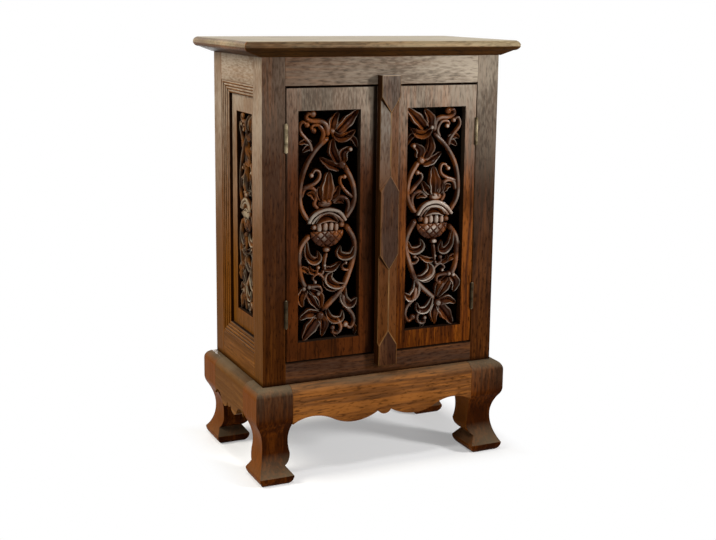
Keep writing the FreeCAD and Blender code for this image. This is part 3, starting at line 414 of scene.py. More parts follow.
@dataclass(frozen=True)
class CarvedHardwood(Finish):
    """Hand-carved hardwood, near black in its depths as painted shade, pale on its crests.

    The eye sees reddish brown leaves between black hollows, with pale crests that are partly worn
    wood and partly painted highlight.
    Pores are drawn several times as wide as real ones, or they wouldn't show.
    """

    name: str = "carved_stained_hardwood"
    # Colours from the bottom of a cut, near black as painted shade, to its crest, then of warm patches,
    # of wear and painted highlight, pores and back
    depth: str = "#060201"
    flank: str = "#3a1a08"
    crest: str = "#351e10"
    ember: str = "#743f17"
    worn: str = "#aca093"
    pore: str = "#120603"
    back: str = "#3a2010"
    fleck: Pattern = Pattern(1.8)
    blotch: Pattern = Pattern(30.0)
    warmth: Pattern = Pattern(24.0, 1.0)
    # Heights of the carving that take each colour: lower is darker as painted shade, and crests take
    # wear and painted highlight
    stops: Triple = (0.26, 0.52, 0.95)
    ember_lot: Band = (0.44, 0.62, 0.0, 1.0)
    ember_height: Band = (0.34, 0.56, 0.0, 0.6)
    dashes: Band = (0.52, 0.72, 0.0, 0.6)
    crests: Band = (0.82, 0.98, 0.0, 1.0)
    rubbed: Band = (0.38, 0.62, 0.0, 0.7)
    polished: Band = (1.0, 1.5, 0.0, 0.5)
    roughness: float = 0.2
    gloss: float = 0.11
    bump: Roughening = Roughening(0.3, 0.5)

    def surface(self, add: Adder) -> Socket:
        """Lays out the colour by the height of the carving, darker low down as painted shade, and the
        wear and painted highlight of its crests.

        Args:
            add: adds a node to the finish.

        Returns:
            The surface shader.
        """
        place = add("TexCoord", out="Object")
        relief, behind = (
            add("Attribute", out="Fac", attribute_name=layer) for layer in ("relief", "behind")
        )
        along = add("Mapping", {"Vector": place, "Scale": Grain.UPRIGHT.value})
        fleck = add("TexNoise", self.fleck.on(along), "Fac")
        blotch = add("TexNoise", self.blotch.on(place), "Fac")
        warmth = add("MapRange", (add("TexNoise", self.warmth.on(place), "Fac"), *self.ember_lot))
        body = add("MapRange", (relief, *self.ember_height))
        warmth = add("Math", (warmth, body), operation="MULTIPLY")
        # Pale crests: random wear, and painted highlight by height and by mark
        rubbed = add("MapRange", (blotch, *self.rubbed))
        polished = add("MapRange", (relief, *self.polished))
        wear = add("Math", (rubbed, polished), operation="MAXIMUM")
        wear = add("Math", (wear, add("MapRange", (relief, *self.crests))), operation="MULTIPLY")
        stains = zip(self.stops, (self.depth, self.flank, self.crest))
        wood = add("ValToRGB", (relief,), stops=tuple(stains))
        for share, tint in (
            (warmth, self.ember),
            (behind, self.back),
            (add("MapRange", (fleck, *self.dashes)), self.pore),
            (wear, self.worn),
        ):
            tints = {FACTOR: share, COLOUR_A: wood, COLOUR_B: linear(tint)}
            wood = add("Mix", tints, COLOUR_OUT, data_type="RGBA")
        return add("BsdfPrincipled", {
            "Base Color": wood,
            "Roughness": self.roughness,
            "Specular IOR Level": self.gloss,
            "Normal": add("Bump", self.bump.of(fleck)),
        })


@dataclass(frozen=True)
class WornMetal(Finish):
    """Rolled or drawn metal that was polished once.

    The eye sees a dull, broken shine, with darker and rougher patches of tarnish.
    """

    name: str
    bright: str
    tarnish: str
    patch: Pattern
    roughness: float
    edges: Point = (0.35, 0.6)
    uneven: Point = (0.2, -0.1)
    bump: Roughening = Roughening(0.2, 0.2)

    def surface(self, add: Adder) -> Socket:
        """Lays out the metal and its patches of tarnish.

        Args:
            add: adds a node to the finish.

        Returns:
            The surface shader.
        """
        patch = add("TexNoise", self.patch.on(add("TexCoord", out="Object")), "Fac")
        metal = add("ValToRGB", (patch,), stops=tuple(zip(self.edges, (self.tarnish, self.bright))))
        dull = add("MapRange", (patch, 0.0, 1.0, *(self.roughness + change for change in self.uneven)))
        bump = add("Bump", self.bump.of(patch))
        return add(
            "BsdfPrincipled", {"Base Color": metal, "Metallic": 1.0, "Roughness": dull, "Normal": bump}
        )


@dataclass(frozen=True)
class BlackCotton(Finish):
    """Plain-woven black cotton, dull and slightly faded on its threads.

    The eye sees an even black. The threads are drawn about twice as coarse as real ones, or they
    wouldn't show.
    """

    name: str = "black_woven_cotton"
    thread: str = "#171412"
    gap: str = "#050404"
    thread_mm: float = 1.2
    waves_per_scale: float = 20.0
    waver: float = 0.4
    roughness: float = 0.9
    gloss: float = 0.1
    bump: Roughening = Roughening(0.5, 0.3)

    def surface(self, add: Adder) -> Socket:
        """Lays out the weave.

        Args:
            add: adds a node to the finish.

        Returns:
            The surface shader.
        """
        scale = 1 / (self.thread_mm * MM * self.waves_per_scale)
        wave = {"Vector": add("TexCoord", out="Object"), "Scale": scale, "Distortion": self.waver}
        warp, weft = (add("TexWave", wave, "Fac", bands_direction=way) for way in "YZ")
        weave = add("Math", (warp, weft), operation="MULTIPLY")
        tints = {FACTOR: weave, COLOUR_A: linear(self.gap), COLOUR_B: linear(self.thread)}
        return add("BsdfPrincipled", {
            "Base Color": add("Mix", tints, COLOUR_OUT, data_type="RGBA"),
            "Roughness": self.roughness,
            "Specular IOR Level": self.gloss,
            "Normal": add("Bump", self.bump.of(weave)),
        })


@dataclass(frozen=True)
class PaperSweep(Finish):
    """Matt white paper floor, with fibres drawn coarser than real ones.

    The eye sees plain white, and the cabinet's soft shadow close around the base.
    """

    name: str = "white_paper"
    paper: str = "#f4f4f4"
    fibre: Pattern = Pattern(6.0)
    bump: Roughening = Roughening(0.05, 0.1)
    half_mm: Point = (221.0, 140.0)
    fade_mm: Point = (-10.0, 55.0)
    least_fade: float = 0.29

    def surface(self, add: Adder) -> Socket:
        """Lays out paper that fades to plain white away from the base.

        Args:
            add: adds a node to the finish.

        Returns:
            The surface shader.
        """
        place = add("TexCoord", out="Object")
        fibre = add("TexNoise", self.fibre.on(place), "Fac")
        bump = add("Bump", self.bump.of(fibre))
        matt = add("BsdfDiffuse", {"Color": linear(self.paper), "Normal": bump})
        past = []
        for axis, half in zip("XY", metres(*self.half_mm)):
            off = add("Math", (add("SeparateXYZ", (place,), axis),), operation="ABSOLUTE")
            past.append(add("Math", (off, half), operation="SUBTRACT"))
        away = add("Math", tuple(past), operation="MAXIMUM")
        span = (*metres(*self.fade_mm), self.least_fade, 1.0)
        fade = add("MapRange", (away, *span), interpolation_type=SMOOTH)
        fade = add("Math", (fade, direct_rays(add)), operation="MULTIPLY")
        return add("MixShader", (fade, matt, add("Emission", {"Color": linear(WHITE)})))


def smooth_faces(shape: bmesh.types.BMesh, hard: float = math.pi) -> None:
    """Smooths a shape, apart from its hard edges.

    Args:
        shape: shape in work.
        hard: angle between two faces above which their edge stays hard.
    """
    for face in shape.faces:
        face.smooth = True
    for edge in shape.edges:
        if edge.is_manifold and edge.calc_face_angle() > hard:
            edge.smooth = False


def finish_piece(
    mesh: bmesh.types.BMesh, name: str, material: bpy.types.Material, body: str
) -> bpy.types.Object:
    """Turns a modelled shape into a piece that rides on a body.

    Args:
        mesh: modelled shape, in place.
        name: name of the piece.
        material: finish of the piece.
        body: body that carries it.

    Returns:
        The new object.
    """
    data = bpy.data.meshes.new(name)
    mesh.to_mesh(data)
    mesh.free()
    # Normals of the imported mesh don't fit the new edges
    stale = data.attributes.get("custom_normal")
    if stale:
        data.attributes.remove(stale)
    data.materials.clear()
    data.materials.append(material)
    piece = bpy.data.objects.new(name, data)
    bpy.context.scene.collection.objects.link(piece)
    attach(piece, body)
    LOG.info("%s: %d faces on %s", name, len(data.polygons), body)
    return piece


@dataclass
class Joinery:
    """Boards of the cabinet, with their edges eased by hand.

    Edges shorter than hole_step_mm are rims of screw and dowel holes. They stay as drilled, because
    the shortest edge limits how far all the others can be eased.
    """

    edge_mm: float = 1.2
    edge_steps: int = 2
    # Most painted shade that a face gets
    grime_share: float = 0.85
    crease: float = math.radians(28.0)
    flat: float = math.radians(0.6)
    hard: float = math.radians(50.0)
    hole_step_mm: float = 0.8
    sliver_mm: float = 0.02
    seed: int = 7

    def __post_init__(self) -> None:
        """Starts the row of numbers that sets the boards apart."""
        self.lot = random.Random(self.seed)

    def ease(
        self,
        node: str,
        material: bpy.types.Material,
        shade_by_normal: Callable[[Vector], float] | None = None,
        rubbed: Callable[[Vector], float] | None = None,
        slot: str = "stained_wood",
        edge_mm: float | None = None,
    ) -> bpy.types.Object:
        """Makes a copy of a board with rounded edges, which stands for the plain one.

        Args:
            node: name of the board.
            material: finish of the board.
            shade_by_normal: gives from a face's normal how much painted shade it gets, 0 to 1.
            rubbed: gives from a face's normal how much painted highlight it carries, 0 to 1.
            slot: not used.
            edge_mm: how far its edges are eased, where that isn't the usual.

        Returns:
            The dressed board.
        """
        source = frame["nodes"][node]
        shape = bmesh.new()
        shape.from_mesh(source.data)
        wear, painted_shade, painted_highlight = (shape.faces.layers.float.new(layer) for layer in ("wear", "painted_shade", "painted_highlight"))
        board = shape.verts.layers.float.new("board")
        bmesh.ops.remove_doubles(shape, verts=shape.verts, dist=WELD_MM * MM)
        bmesh.ops.dissolve_limit(shape, angle_limit=self.flat, verts=shape.verts, edges=shape.edges)
        edges = [
            edge
            for edge in shape.edges
            if edge.is_manifold
            and edge.is_convex
            and edge.calc_face_angle() > self.crease
            and edge.calc_length() > self.hole_step_mm * MM
        ]
        rounded = bmesh.ops.bevel(
            shape,
            geom=edges,
            offset=(edge_mm or self.edge_mm) * MM,
            offset_type="OFFSET",
            segments=self.edge_steps,
            profile=0.5,
            affect="EDGES",
            clamp_overlap=True,
            material=-1,
        )
        for face in rounded["faces"]:
            face[wear] = 1.0
        bmesh.ops.dissolve_degenerate(shape, dist=self.sliver_mm * MM, edges=shape.edges)
        # Painted shade and painted highlights, set on each face from its normal
        for face in shape.faces:
            if shade_by_normal:
                face[painted_shade] = self.grime_share * shade_by_normal(face.normal)
            if rubbed:
                face[painted_highlight] = rubbed(face.normal)
        own = self.lot.random()
        for vert in shape.verts:
            vert[board] = own
        smooth_faces(shape, self.hard)
        piece = finish_piece(shape, f"{node}_eased", material, source["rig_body"])
        normals = piece.modifiers.new("even_faces", "WEIGHTED_NORMAL")
        normals.keep_sharp = True
        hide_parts(node)
        return piece


class Cut(Enum):
    """Shape that the carver gave a line of the pattern."""

    STEM = "round rod of even width"
    CURL = "round rod that thins to a bead"
    LEAF = "hollowed leaf with raised edges and a sharp tip"
    RIBBED = "leaf with a raised midrib"
    CRESCENT = "hollowed leaf, slim at both ends"


@dataclass(frozen=True)
class Stroke:
    """One carved line of the pattern, in millimetres about the middle of the window."""

    cut: Cut
    width: float
    rise: float
    path: tuple[Point, ...]
    # Share of painted highlight on its crests
    polish: float = 0.0


@dataclass(frozen=True)
class Bead:
    """One carved bead of the pattern, in millimetres about the middle of the window."""

    place: Point
    width: float
    height: float
    rise: float


STROKES = tuple(Stroke(*line) for line in (
    # Stems that frame the pattern
    (Cut.STEM, 8.5, 10.0, ((2, 141), (-22, 120), (-39, 91), (-46, 60), (-45, 32), (-31, 9))),
    (Cut.STEM, 9.0, 10.0, ((27, 97), (42, 72), (47, 49), (44, 30), (31, 9))),
    (Cut.STEM, 8.5, 10.0, ((-29, -12), (-45, -32), (-48, -58), (-44, -82), (-37, -97))),
    (Cut.STEM, 9.0, 10.0, ((31, 1), (46, -24), (48, -46), (40, -75), (26, -105), (-9, -139))),
    (Cut.STEM, 5.5, 10.0, ((-2, -42), (-4, -56), (-5, -72))),
    # Curls of the upper half
    (Cut.CURL, 10.0, 9.5, ((1, 142), (-2, 158), (-11, 166), (-26, 166), (-36, 171), (-34, 178),
                           (-25, 177))),
    (Cut.CURL, 7.5, 8.0, ((-11, 131), (-6, 146), (-13, 158), (-22, 160), (-27, 156), (-24, 151))),
    (Cut.CURL, 8.0, 9.0, ((-27, 118), (-31, 132), (-45, 149), (-48, 159), (-42, 165), (-35, 161))),
    (Cut.CURL, 7.0, 8.5, ((-44, 60), (-24, 67), (-14, 76), (-14, 86), (-21, 89), (-27, 82))),
    (Cut.CURL, 7.0, 8.5, ((45, 42), (31, 55), (22, 67), (22, 75), (29, 77))),
    (Cut.STEM, 6.5, 7.5, ((-44, 44), (-39, 59), (-29, 62), (-20, 57), (-18, 46), (-21, 36), (-15, 27))),
    (Cut.STEM, 6.5, 7.5, ((9, 34), (21, 45), (33, 42), (38, 32), (34, 14))),
    # Flower at the top
    (Cut.LEAF, 18.0, 11.0, ((8, 152), (8, 165), (18, 180))),
    (Cut.LEAF, 19.5, 12.0, ((18, 150), (34, 166), (52, 183))),
    (Cut.CRESCENT, 14.5, 12.0, ((6, 149), (18, 139), (32, 141), (46, 151))),
    (Cut.CRESCENT, 8.5, 9.0, ((32, 141), (44, 136), (51, 121))),
    (Cut.LEAF, 11.0, 8.5, ((-28, 131), (-38, 135), (-48, 131))),
    (Cut.LEAF, 11.0, 8.5, ((-28, 127), (-35, 124), (-43, 118))),
    # Flower under it
    (Cut.LEAF, 18.0, 12.0, ((18, 99), (8, 118), (9, 138))),
    (Cut.LEAF, 15.5, 11.0, ((20, 91), (4, 97), (-14, 109))),
    (Cut.LEAF, 17.0, 11.0, ((28, 101), (26, 114), (39, 124))),
    # Lotus over the medallion
    (Cut.RIBBED, 23.5, 12.5, ((-3, 40), (-1, 62), (2, 88))),
    (Cut.LEAF, 12.5, 10.0, ((-10, 42), (-15, 52), (-14, 64))),
    (Cut.LEAF, 14.0, 10.5, ((6, 42), (14, 51), (20, 63))),
    (Cut.LEAF, 11.0, 9.0, ((-20, 44), (-26, 52), (-35, 52))),
    (Cut.LEAF, 11.0, 9.0, ((12, 38), (22, 40), (30, 34))),
    # Two arches over the medallion, and its flutes
    (Cut.STEM, 7.0, 13.0, ((-35, 5), (-25, 18), (-10, 26), (4, 27), (20, 21), (32, 6)), 1.0),
    (Cut.STEM, 5.5, 12.0, ((-29, 4), (-20, 14), (-9, 20), (4, 21), (16, 16), (27, 4)), 0.4),
    (Cut.CRESCENT, 14.5, 13.0, ((-20, 5), (-9, 13), (4, 14), (18, 5)), 0.7),
    (Cut.STEM, 9.5, 12.0, ((-15, 6), (-15, -9)), 0.8),
    (Cut.STEM, 10.0, 12.6, ((-5, 7), (-5, -9)), 1.0),
    (Cut.STEM, 10.0, 12.6, ((5, 7), (5, -9)), 1.0),
    (Cut.STEM, 9.5, 12.0, ((14, 5), (14, -10)), 0.8),
    # Leaves and curls beside the drop
    (Cut.CRESCENT, 8.0, 9.0, ((-45, -30), (-49, -48), (-53, -57))),
    (Cut.CRESCENT, 13.0, 11.0, ((-37, -22), (-34, -44), (-24, -55), (-15, -50), (-17, -38)), 0.5),
    (Cut.CRESCENT, 13.0, 11.0, ((47, -36), (41, -49), (29, -51), (20, -45), (22, -33)), 0.9),
    (Cut.CURL, 6.0, 8.5, ((47, -54), (40, -72), (30, -73), (26, -66), (32, -62))),
    (Cut.LEAF, 11.0, 9.0, ((-4, -70), (10, -69), (25, -59))),
    (Cut.CURL, 6.0, 8.5, ((-6, -70), (-9, -77), (-17, -74), (-16, -66))),
    (Cut.LEAF, 10.0, 8.5, ((-16, -76), (-27, -72), (-30, -62))),
    (Cut.LEAF, 10.0, 8.5, ((-45, -66), (-36, -69), (-29, -76))),
    (Cut.CURL, 6.0, 8.5, ((0, -95), (-6, -83), (-16, -77), (-24, -83), (-20, -89))),
    (Cut.CRESCENT, 15.5, 11.5, ((30, -97), (17, -98), (5, -91), (3, -82), (9, -74)), 0.6),
    (Cut.CRESCENT, 9.0, 8.5, ((-6, -84), (-2, -96), (10, -103), (24, -102))),
    # Flower at the lower left
    (Cut.CURL, 7.5, 9.0, ((-36, -97), (-24, -96), (-13, -98), (-10, -105), (-15, -109))),
    (Cut.LEAF, 18.0, 11.5, ((-38, -100), (-46, -112), (-42, -128))),
    (Cut.LEAF, 13.5, 11.0, ((-35, -103), (-26, -119), (-12, -136))),
    (Cut.LEAF, 14.0, 10.5, ((-30, -102), (-13, -114), (-9, -134))),
    # Flower at the bottom
    (Cut.LEAF, 17.0, 11.0, ((-14, -143), (-31, -139), (-48, -148))),
    (Cut.LEAF, 21.0, 11.5, ((-15, -147), (-29, -163), (-42, -184))),
    (Cut.LEAF, 18.0, 11.0, ((-11, -147), (-5, -160), (-9, -180))),
    # Leaves and curls at the lower right
    (Cut.CRESCENT, 12.5, 11.0, ((-2, -132), (3, -146), (12, -154), (24, -152), (27, -139)), 0.5),
    (Cut.CRESCENT, 15.5, 11.0, ((30, -98), (29, -119), (40, -131), (52, -121)), 0.7),
    (Cut.CURL, 9.0, 9.0, ((28, -112), (31, -131), (45, -147), (48, -160), (41, -170), (33, -164))),
    (Cut.CURL, 7.5, 8.5, ((18, -152), (25, -166), (20, -176), (11, -175), (11, -167))),
    (Cut.LEAF, 8.5, 8.0, ((44, -163), (50, -172), (49, -184))),
    (Cut.LEAF, 8.5, 8.0, ((16, -172), (15, -178), (20, -185))),
))

BEADS = (
    Bead((7, 150), 9.0, 9.0, 12.5),
    Bead((24, 97), 13.0, 13.0, 13.0),
    Bead((38, 121), 8.5, 8.5, 11.5),
    Bead((-4, 36), 24.0, 13.0, 10.5),
    Bead((-9, 39), 6.5, 6.5, 12.8),
    Bead((0, 40), 6.5, 6.5, 12.8),
    Bead((-24, -1), 9.5, 9.5, 12.0),
    Bead((24, 1), 10.0, 10.0, 12.0),
    Bead((-2, -38), 13.0, 9.0, 11.5),
    Bead((-5, -63), 6.5, 6.5, 11.0),
    Bead((-41, -98), 9.0, 9.0, 11.0),
    Bead((-32, -96), 9.0, 9.0, 11.0),
    Bead((-12, -144), 13.0, 13.0, 13.0),
)


@dataclass(frozen=True)
class Basket:
    """Bowl of the medallion, cut with a lattice of pillows, in millimetres and shares."""

    rim: Point = (0.0, -8.0)
    half_width: float = 28.0
    drop: float = 26.0
    rise: float = 12.5
    pillow: float = 9.5
    groove: float = 2.0
    steps: tuple[int, int] = (48, 26)
    round_power: float = 2.4
    side_fall: float = 0.75
    foot_fall: float = 0.5
    slant: float = 0.7
    pillow_slope: float = 2.2
    least_lift: float = 1.0
    least_relief: float = 0.25


@dataclass(frozen=True)
class Gouge:
    """Shares of a carved line's width, height or length that give its shape."""

    # Width along the line, and how far the hand changes it
    width_range: Point = (0.94, 1.06)
    curl_taper: float = 0.45
    crescent_start: float = 0.30
    crescent_belly: float = 0.93
    crescent_powers: Point = (1.15, 0.8)
    leaf_width: float = 2.1
    leaf_start: float = 0.12
    leaf_powers: Point = (0.6, 0.75)
    leaf_lobes: int = 5
    lobe_depth: float = 0.09
    # Height across the line: rods, lips of leaves, then height and width of a rib or a vein
    rod: Point = (0.42, 0.46)
    rod_power: float = 2.4
    lip: float = 0.80
    lip_drop: float = 0.4
    hollow: float = 0.52
    rib: Point = (0.38, 0.16)
    vein: Point = (0.24, 0.15)
    # Ends of the line: sections even out on a thin tip, and rods are rounded off
    tip_height: float = 0.8
    tip_fade: float = 5.0
    end_width: float = 0.05
    end_lift: float = 0.55
    end_relief: float = 0.6
    rod_lift: float = 1.13
    leaf_root: float = 0.8
    leaf_rise: float = 1.2
    # Painted highlight on the crests
    shine_from: float = 0.7
    shine_run: float = 0.16
    shine_relief: float = 0.15
    shine_mark: float = 0.5
    # Beads, at the end of a curl too
    curl_bead: Point = (1.15, 1.1)
    bead_steps: tuple[int, int] = (18, 10)
    bead_waist: float = 0.62
    bead_relief: float = 0.45


@dataclass(frozen=True)
class PanelSize:
    """Sizes of a pierced panel, and the weight of its lines against the pattern's."""

    window_mm: Point
    thickness_mm: float
    proud_mm: float
    rim_thickness_mm: float
    weight: float = 1.0
    rim_mm: float = 8.0
    rebate_mm: float = 6.0


@dataclass
class CarvedPanel:
    """One pierced and carved panel, with the rim that holds it in its board."""

    node: str
    seed: int
    across: Vector
    out: Vector
    size: PanelSize
    rim_relief: float = 0.35
    waver_mm: float = 0.6
    pattern_mm: Triple = (106.0, 366.5, 13.0)
    steps_per_run: int = 6
    ribs: int = 16
    slope_step: float = 0.002
    hard: float = math.radians(48.0)
    basket: Basket = Basket()
    gouge: Gouge = Gouge()

    def __post_init__(self) -> None:
        """Finds where the panel sits, and its share of the pattern's size."""
        low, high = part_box(self.node)
        middle = (low + high) / 2
        depth = abs((high - low).dot(self.out))
        back = middle - self.out * (depth / 2)
        base = depth - self.size.thickness_mm * MM
        up = Vector((0.0, 0.0, 1.0))
        self.to_world = Matrix((self.across, up, self.out)).transposed().to_4x4()
        self.to_world.translation = back + self.out * base
        self.sunk_mm = base / MM
        panel_mm = (*self.size.window_mm, self.size.thickness_mm + self.size.proud_mm)
        self.share = Vector([own / drawn for own, drawn in zip(panel_mm, self.pattern_mm)])
        self.hand = random.Random(self.seed)
        self.whole = bmesh.new()
        self.whole.verts.layers.float.new("relief")
        self.whole.faces.layers.float.new("behind")
        self.scratch = bpy.data.meshes.new(f"{self.node}_stroke")

    def start(self) -> None:
        """Starts a fresh shape for the next line of the pattern."""
        self.shape = bmesh.new()
        self.relief = self.shape.verts.layers.float.new("relief")
        self.behind = self.shape.faces.layers.float.new("behind")

    def keep(self) -> None:
        """Adds the shape in work to the whole panel."""
        bmesh.ops.remove_doubles(self.shape, verts=self.shape.verts, dist=WELD_MM)
        bmesh.ops.recalc_face_normals(self.shape, faces=self.shape.faces)
        self.shape.to_mesh(self.scratch)
        self.shape.free()
        self.whole.from_mesh(self.scratch)

    def spot(self, point: Point) -> Vector:
        """Gives a point of the pattern on this panel, with the waver of the hand."""
        waver = [self.hand.uniform(-self.waver_mm, self.waver_mm) for _ in point]
        return Vector([place * share + off for place, share, off in zip(point, self.share, waver)])

    @staticmethod
    def glide(points: list[Vector], share: float) -> Vector:
        """Gives the place at a share of a smooth line through points.

        Args:
            points: points that the line passes through.
            share: 0 at the first point to 1 at the last.

        Returns:
            The place on the line.
        """
        runs = len(points) - 1
        index = min(int(share * runs), runs - 1)
        step = share * runs - index
        before = points[index - 1] if index else points[0] * 2 - points[1]
        start, end = points[index], points[index + 1]
        after = points[index + 2] if index + 2 <= runs else points[-1] * 2 - points[-2]
        slope_in, slope_out = (end - before) / 2, (after - start) / 2
        cube, square = step ** 3, step ** 2
        return (
            start * (2 * cube - 3 * square + 1)
            + slope_in * (cube - 2 * square + step)
            + end * (3 * square - 2 * cube)
            + slope_out * (cube - square)
        )

    def sideways(self, points: list[Vector], share: float) -> Vector:
        """Gives the way across a smooth line at a share of its length.

        Args:
            points: points that the line passes through.
            share: 0 at the first point to 1 at the last.

        Returns:
            The way to the left of the line, of length 1.
        """
        before = self.glide(points, max(0.0, share - self.slope_step))
        ahead = self.glide(points, min(1.0, share + self.slope_step)) - before
        return Vector((-ahead.y, ahead.x)).normalized()

    def spread(self, cut: Cut, share: float) -> float:
        """Gives the width of a stroke at a share of its length.

        Args:
            cut: shape of the stroke.
            share: 0 at its start to 1 at its end.

        Returns:
            The width, against the full width.
        """
        tool = self.gouge
        if cut is Cut.STEM:
            return 1.0
        if cut is Cut.CURL:
            return 1.0 - tool.curl_taper * share
        if cut is Cut.CRESCENT:
            lean, blunt = tool.crescent_powers
            belly = math.sin(math.pi * share ** lean) ** blunt
            return tool.crescent_start * (1 - share) + tool.crescent_belly * belly
        lobes = 1 + tool.lobe_depth * math.sin(tool.leaf_lobes * math.pi * share)
        root, tip = tool.leaf_powers
        return tool.leaf_width * lobes * (share + tool.leaf_start) ** root * (1 - share) ** tip

    def crown(self, cut: Cut, side: float) -> float:
        """Gives the height of a stroke's section at a place across it.

        Args:
            cut: shape of the stroke.
            side: -1 at one edge to 1 at the other.

        Returns:
            The height, against the full height.
        """
        tool = self.gouge
        off = abs(side)
        if cut in (Cut.STEM, Cut.CURL):
            return tool.rod[0] + tool.rod[1] * math.sqrt(max(0.0, 1 - off ** tool.rod_power))
        if off > tool.lip:
            return 1.0 - tool.lip_drop * ((off - tool.lip) / (1 - tool.lip)) ** 2
        hollow = tool.hollow + (1 - tool.hollow) * (off / tool.lip) ** 3
        if cut is Cut.RIBBED:
            return hollow + tool.rib[0] * math.exp(-(off / tool.rib[1]) ** 2)
        return hollow - tool.vein[0] * math.exp(-(off / tool.vein[1]) ** 2)

    def close(self, front: list[bmesh.types.BMFace]) -> None:
        """Closes a carved front with walls and a flat back.

        Args:
            front: faces of the front.
        """
        made = bmesh.ops.extrude_face_region(self.shape, geom=front, use_keep_orig=True)
        for item in made["geom"]:
            if isinstance(item, bmesh.types.BMVert):
                item.co.z = 0.0
                # The back takes the darkest colour, so the walls darken to it as painted shade
                item[self.relief] = 0.0
            if isinstance(item, bmesh.types.BMFace):
                item[self.behind] = 1.0

    def carve_stroke(self, stroke: Stroke) -> None:
        """Carves one stroke of the pattern.

        Args:
            stroke: line of the pattern.
        """
        tool = self.gouge
        points = [self.spot(point) for point in stroke.path]
        width = stroke.width * self.size.weight * self.hand.uniform(*tool.width_range)
        rise = stroke.rise * self.share.z
        steps = self.steps_per_run * (len(points) - 1)
        length = sum((after - before).length for before, after in zip(points, points[1:]))
        rod = stroke.cut in (Cut.STEM, Cut.CURL)
        self.start()
        grid = bmesh.ops.create_grid(self.shape, x_segments=steps, y_segments=self.ribs, size=1.0)
        front = self.shape.faces[:]
        for vert in grid["verts"]:
            share, side = (vert.co.x + 1) / 2, vert.co.y
            spread = self.spread(stroke.cut, share)
            crown = self.crown(stroke.cut, side) - tool.tip_height
            section = tool.tip_height + crown * min(1.0, tool.tip_fade * spread)
            end_gap = min(share, 1 - share) * length / (width / 2)
            cap = math.sqrt(max(0.0, 1 - (1 - end_gap) ** 2)) if rod and end_gap < 1 else 1.0
            off = side * (width / 2 * spread) * max(cap, tool.end_width)
            spot = self.glide(points, share) + self.sideways(points, share) * off
            lift = rise * section * (tool.end_lift + (1 - tool.end_lift) * cap)
            if rod:
                lift *= tool.rod_lift
            if stroke.cut in (Cut.LEAF, Cut.RIBBED):
                arch = math.sin(math.pi * min(1.0, share * tool.leaf_rise))
                lift *= tool.leaf_root + (1 - tool.leaf_root) * arch
            vert.co = (spot.x, spot.y, lift)
            # The height sets the colour: lower is darker as painted shade; crests marked for it get
            # painted highlight
            height = section * (tool.end_relief + (1 - tool.end_relief) * cap)
            shine = stroke.polish * min(1.0, max(0.0, (height - tool.shine_from) / tool.shine_run))
            vert[self.relief] = min(1.0, height + tool.shine_relief * shine) + tool.shine_mark * shine
        self.close(front)
        self.keep()
        if stroke.cut is Cut.CURL:
            wide, tall = tool.curl_bead
            self.carve_bead(points[-1], width * wide, width * wide, rise * tall)

    def carve_bead(self, centre: Vector, width: float, height: float, rise: float) -> None:
        """Carves one domed bead.

        Args:
            centre: its middle on the panel.
            width: its width.
            height: its height on the panel.
            rise: its height above the panel.
        """
        tool = self.gouge
        around, up = tool.bead_steps
        self.start()
        ball = bmesh.ops.create_uvsphere(self.shape, u_segments=around, v_segments=up, radius=1.0)
        for vert in ball["verts"]:
            top = max(vert.co.z, 0.0)
            vert[self.relief] = tool.bead_relief + (1 - tool.bead_relief) * top
            dome = tool.bead_waist + (1 - tool.bead_waist) * vert.co.z
            foot = tool.bead_waist * (1 + vert.co.z)
            vert.co = (
                centre.x + vert.co.x * width / 2,
                centre.y + vert.co.y * height / 2,
                rise * (dome if vert.co.z > 0 else foot),
            )
        self.keep()

    def carve_bowl(self) -> None:
        """Carves the latticed bowl of the medallion."""
        bowl = self.basket
        wide, deep = bowl.steps
        turn = math.pi / bowl.pillow * bowl.slant
        self.start()
        grid = bmesh.ops.create_grid(self.shape, x_segments=wide, y_segments=deep, size=1.0)
        front = self.shape.faces[:]
        for vert in grid["verts"]:
            side, down = vert.co.x, (1 - vert.co.y) / 2
            half = bowl.half_width * math.sqrt(max(0.0, 1 - down ** bowl.round_power))
            place = Vector((bowl.rim[0] + side * half, bowl.rim[1] - down * bowl.drop))
            dome = math.sqrt(1 - bowl.side_fall * (side * half / bowl.half_width) ** 2)
            dome *= 1 - bowl.foot_fall * down ** 2
            grooves = [abs(math.cos((place.x + way * place.y) * turn)) for way in (1, -1)]
            pillow = min(1.0, bowl.pillow_slope * min(grooves))
            lift = max(bowl.rise * dome - bowl.groove * (1 - pillow), bowl.least_lift)
            vert.co = (place.x * self.share.x, place.y * self.share.y, lift * self.share.z)
            vert[self.relief] = min(1.0, bowl.least_relief + (1 - bowl.least_relief) * pillow * dome)
        self.close(front)
        self.keep()

    def add_rim(self) -> None:
        """Makes the plain rim that sits in the rebate of the board."""
        self.start()
        outer = Vector((*(side / 2 + self.size.rebate_mm for side in self.size.window_mm), 1.0))
        sheet = bmesh.ops.create_grid(self.shape, x_segments=1, y_segments=1, size=1.0)
        bmesh.ops.scale(self.shape, vec=outer, verts=sheet["verts"])
        bmesh.ops.translate(self.shape, vec=(0.0, 0.0, -self.sunk_mm), verts=sheet["verts"])
        face = sheet["verts"][0].link_faces[0]
        inset = bmesh.ops.inset_region(self.shape, faces=[face], thickness=self.size.rim_mm)
        bmesh.ops.delete(self.shape, geom=[face], context="FACES")
        made = bmesh.ops.extrude_face_region(self.shape, geom=inset["faces"], use_keep_orig=True)
        tops = [item for item in made["geom"] if isinstance(item, bmesh.types.BMVert)]
        bmesh.ops.translate(self.shape, vec=(0.0, 0.0, self.size.rim_thickness_mm), verts=tops)
        for vert in tops:
            vert[self.relief] = self.rim_relief
        for back in inset["faces"]:
            back[self.behind] = 1.0
        self.keep()

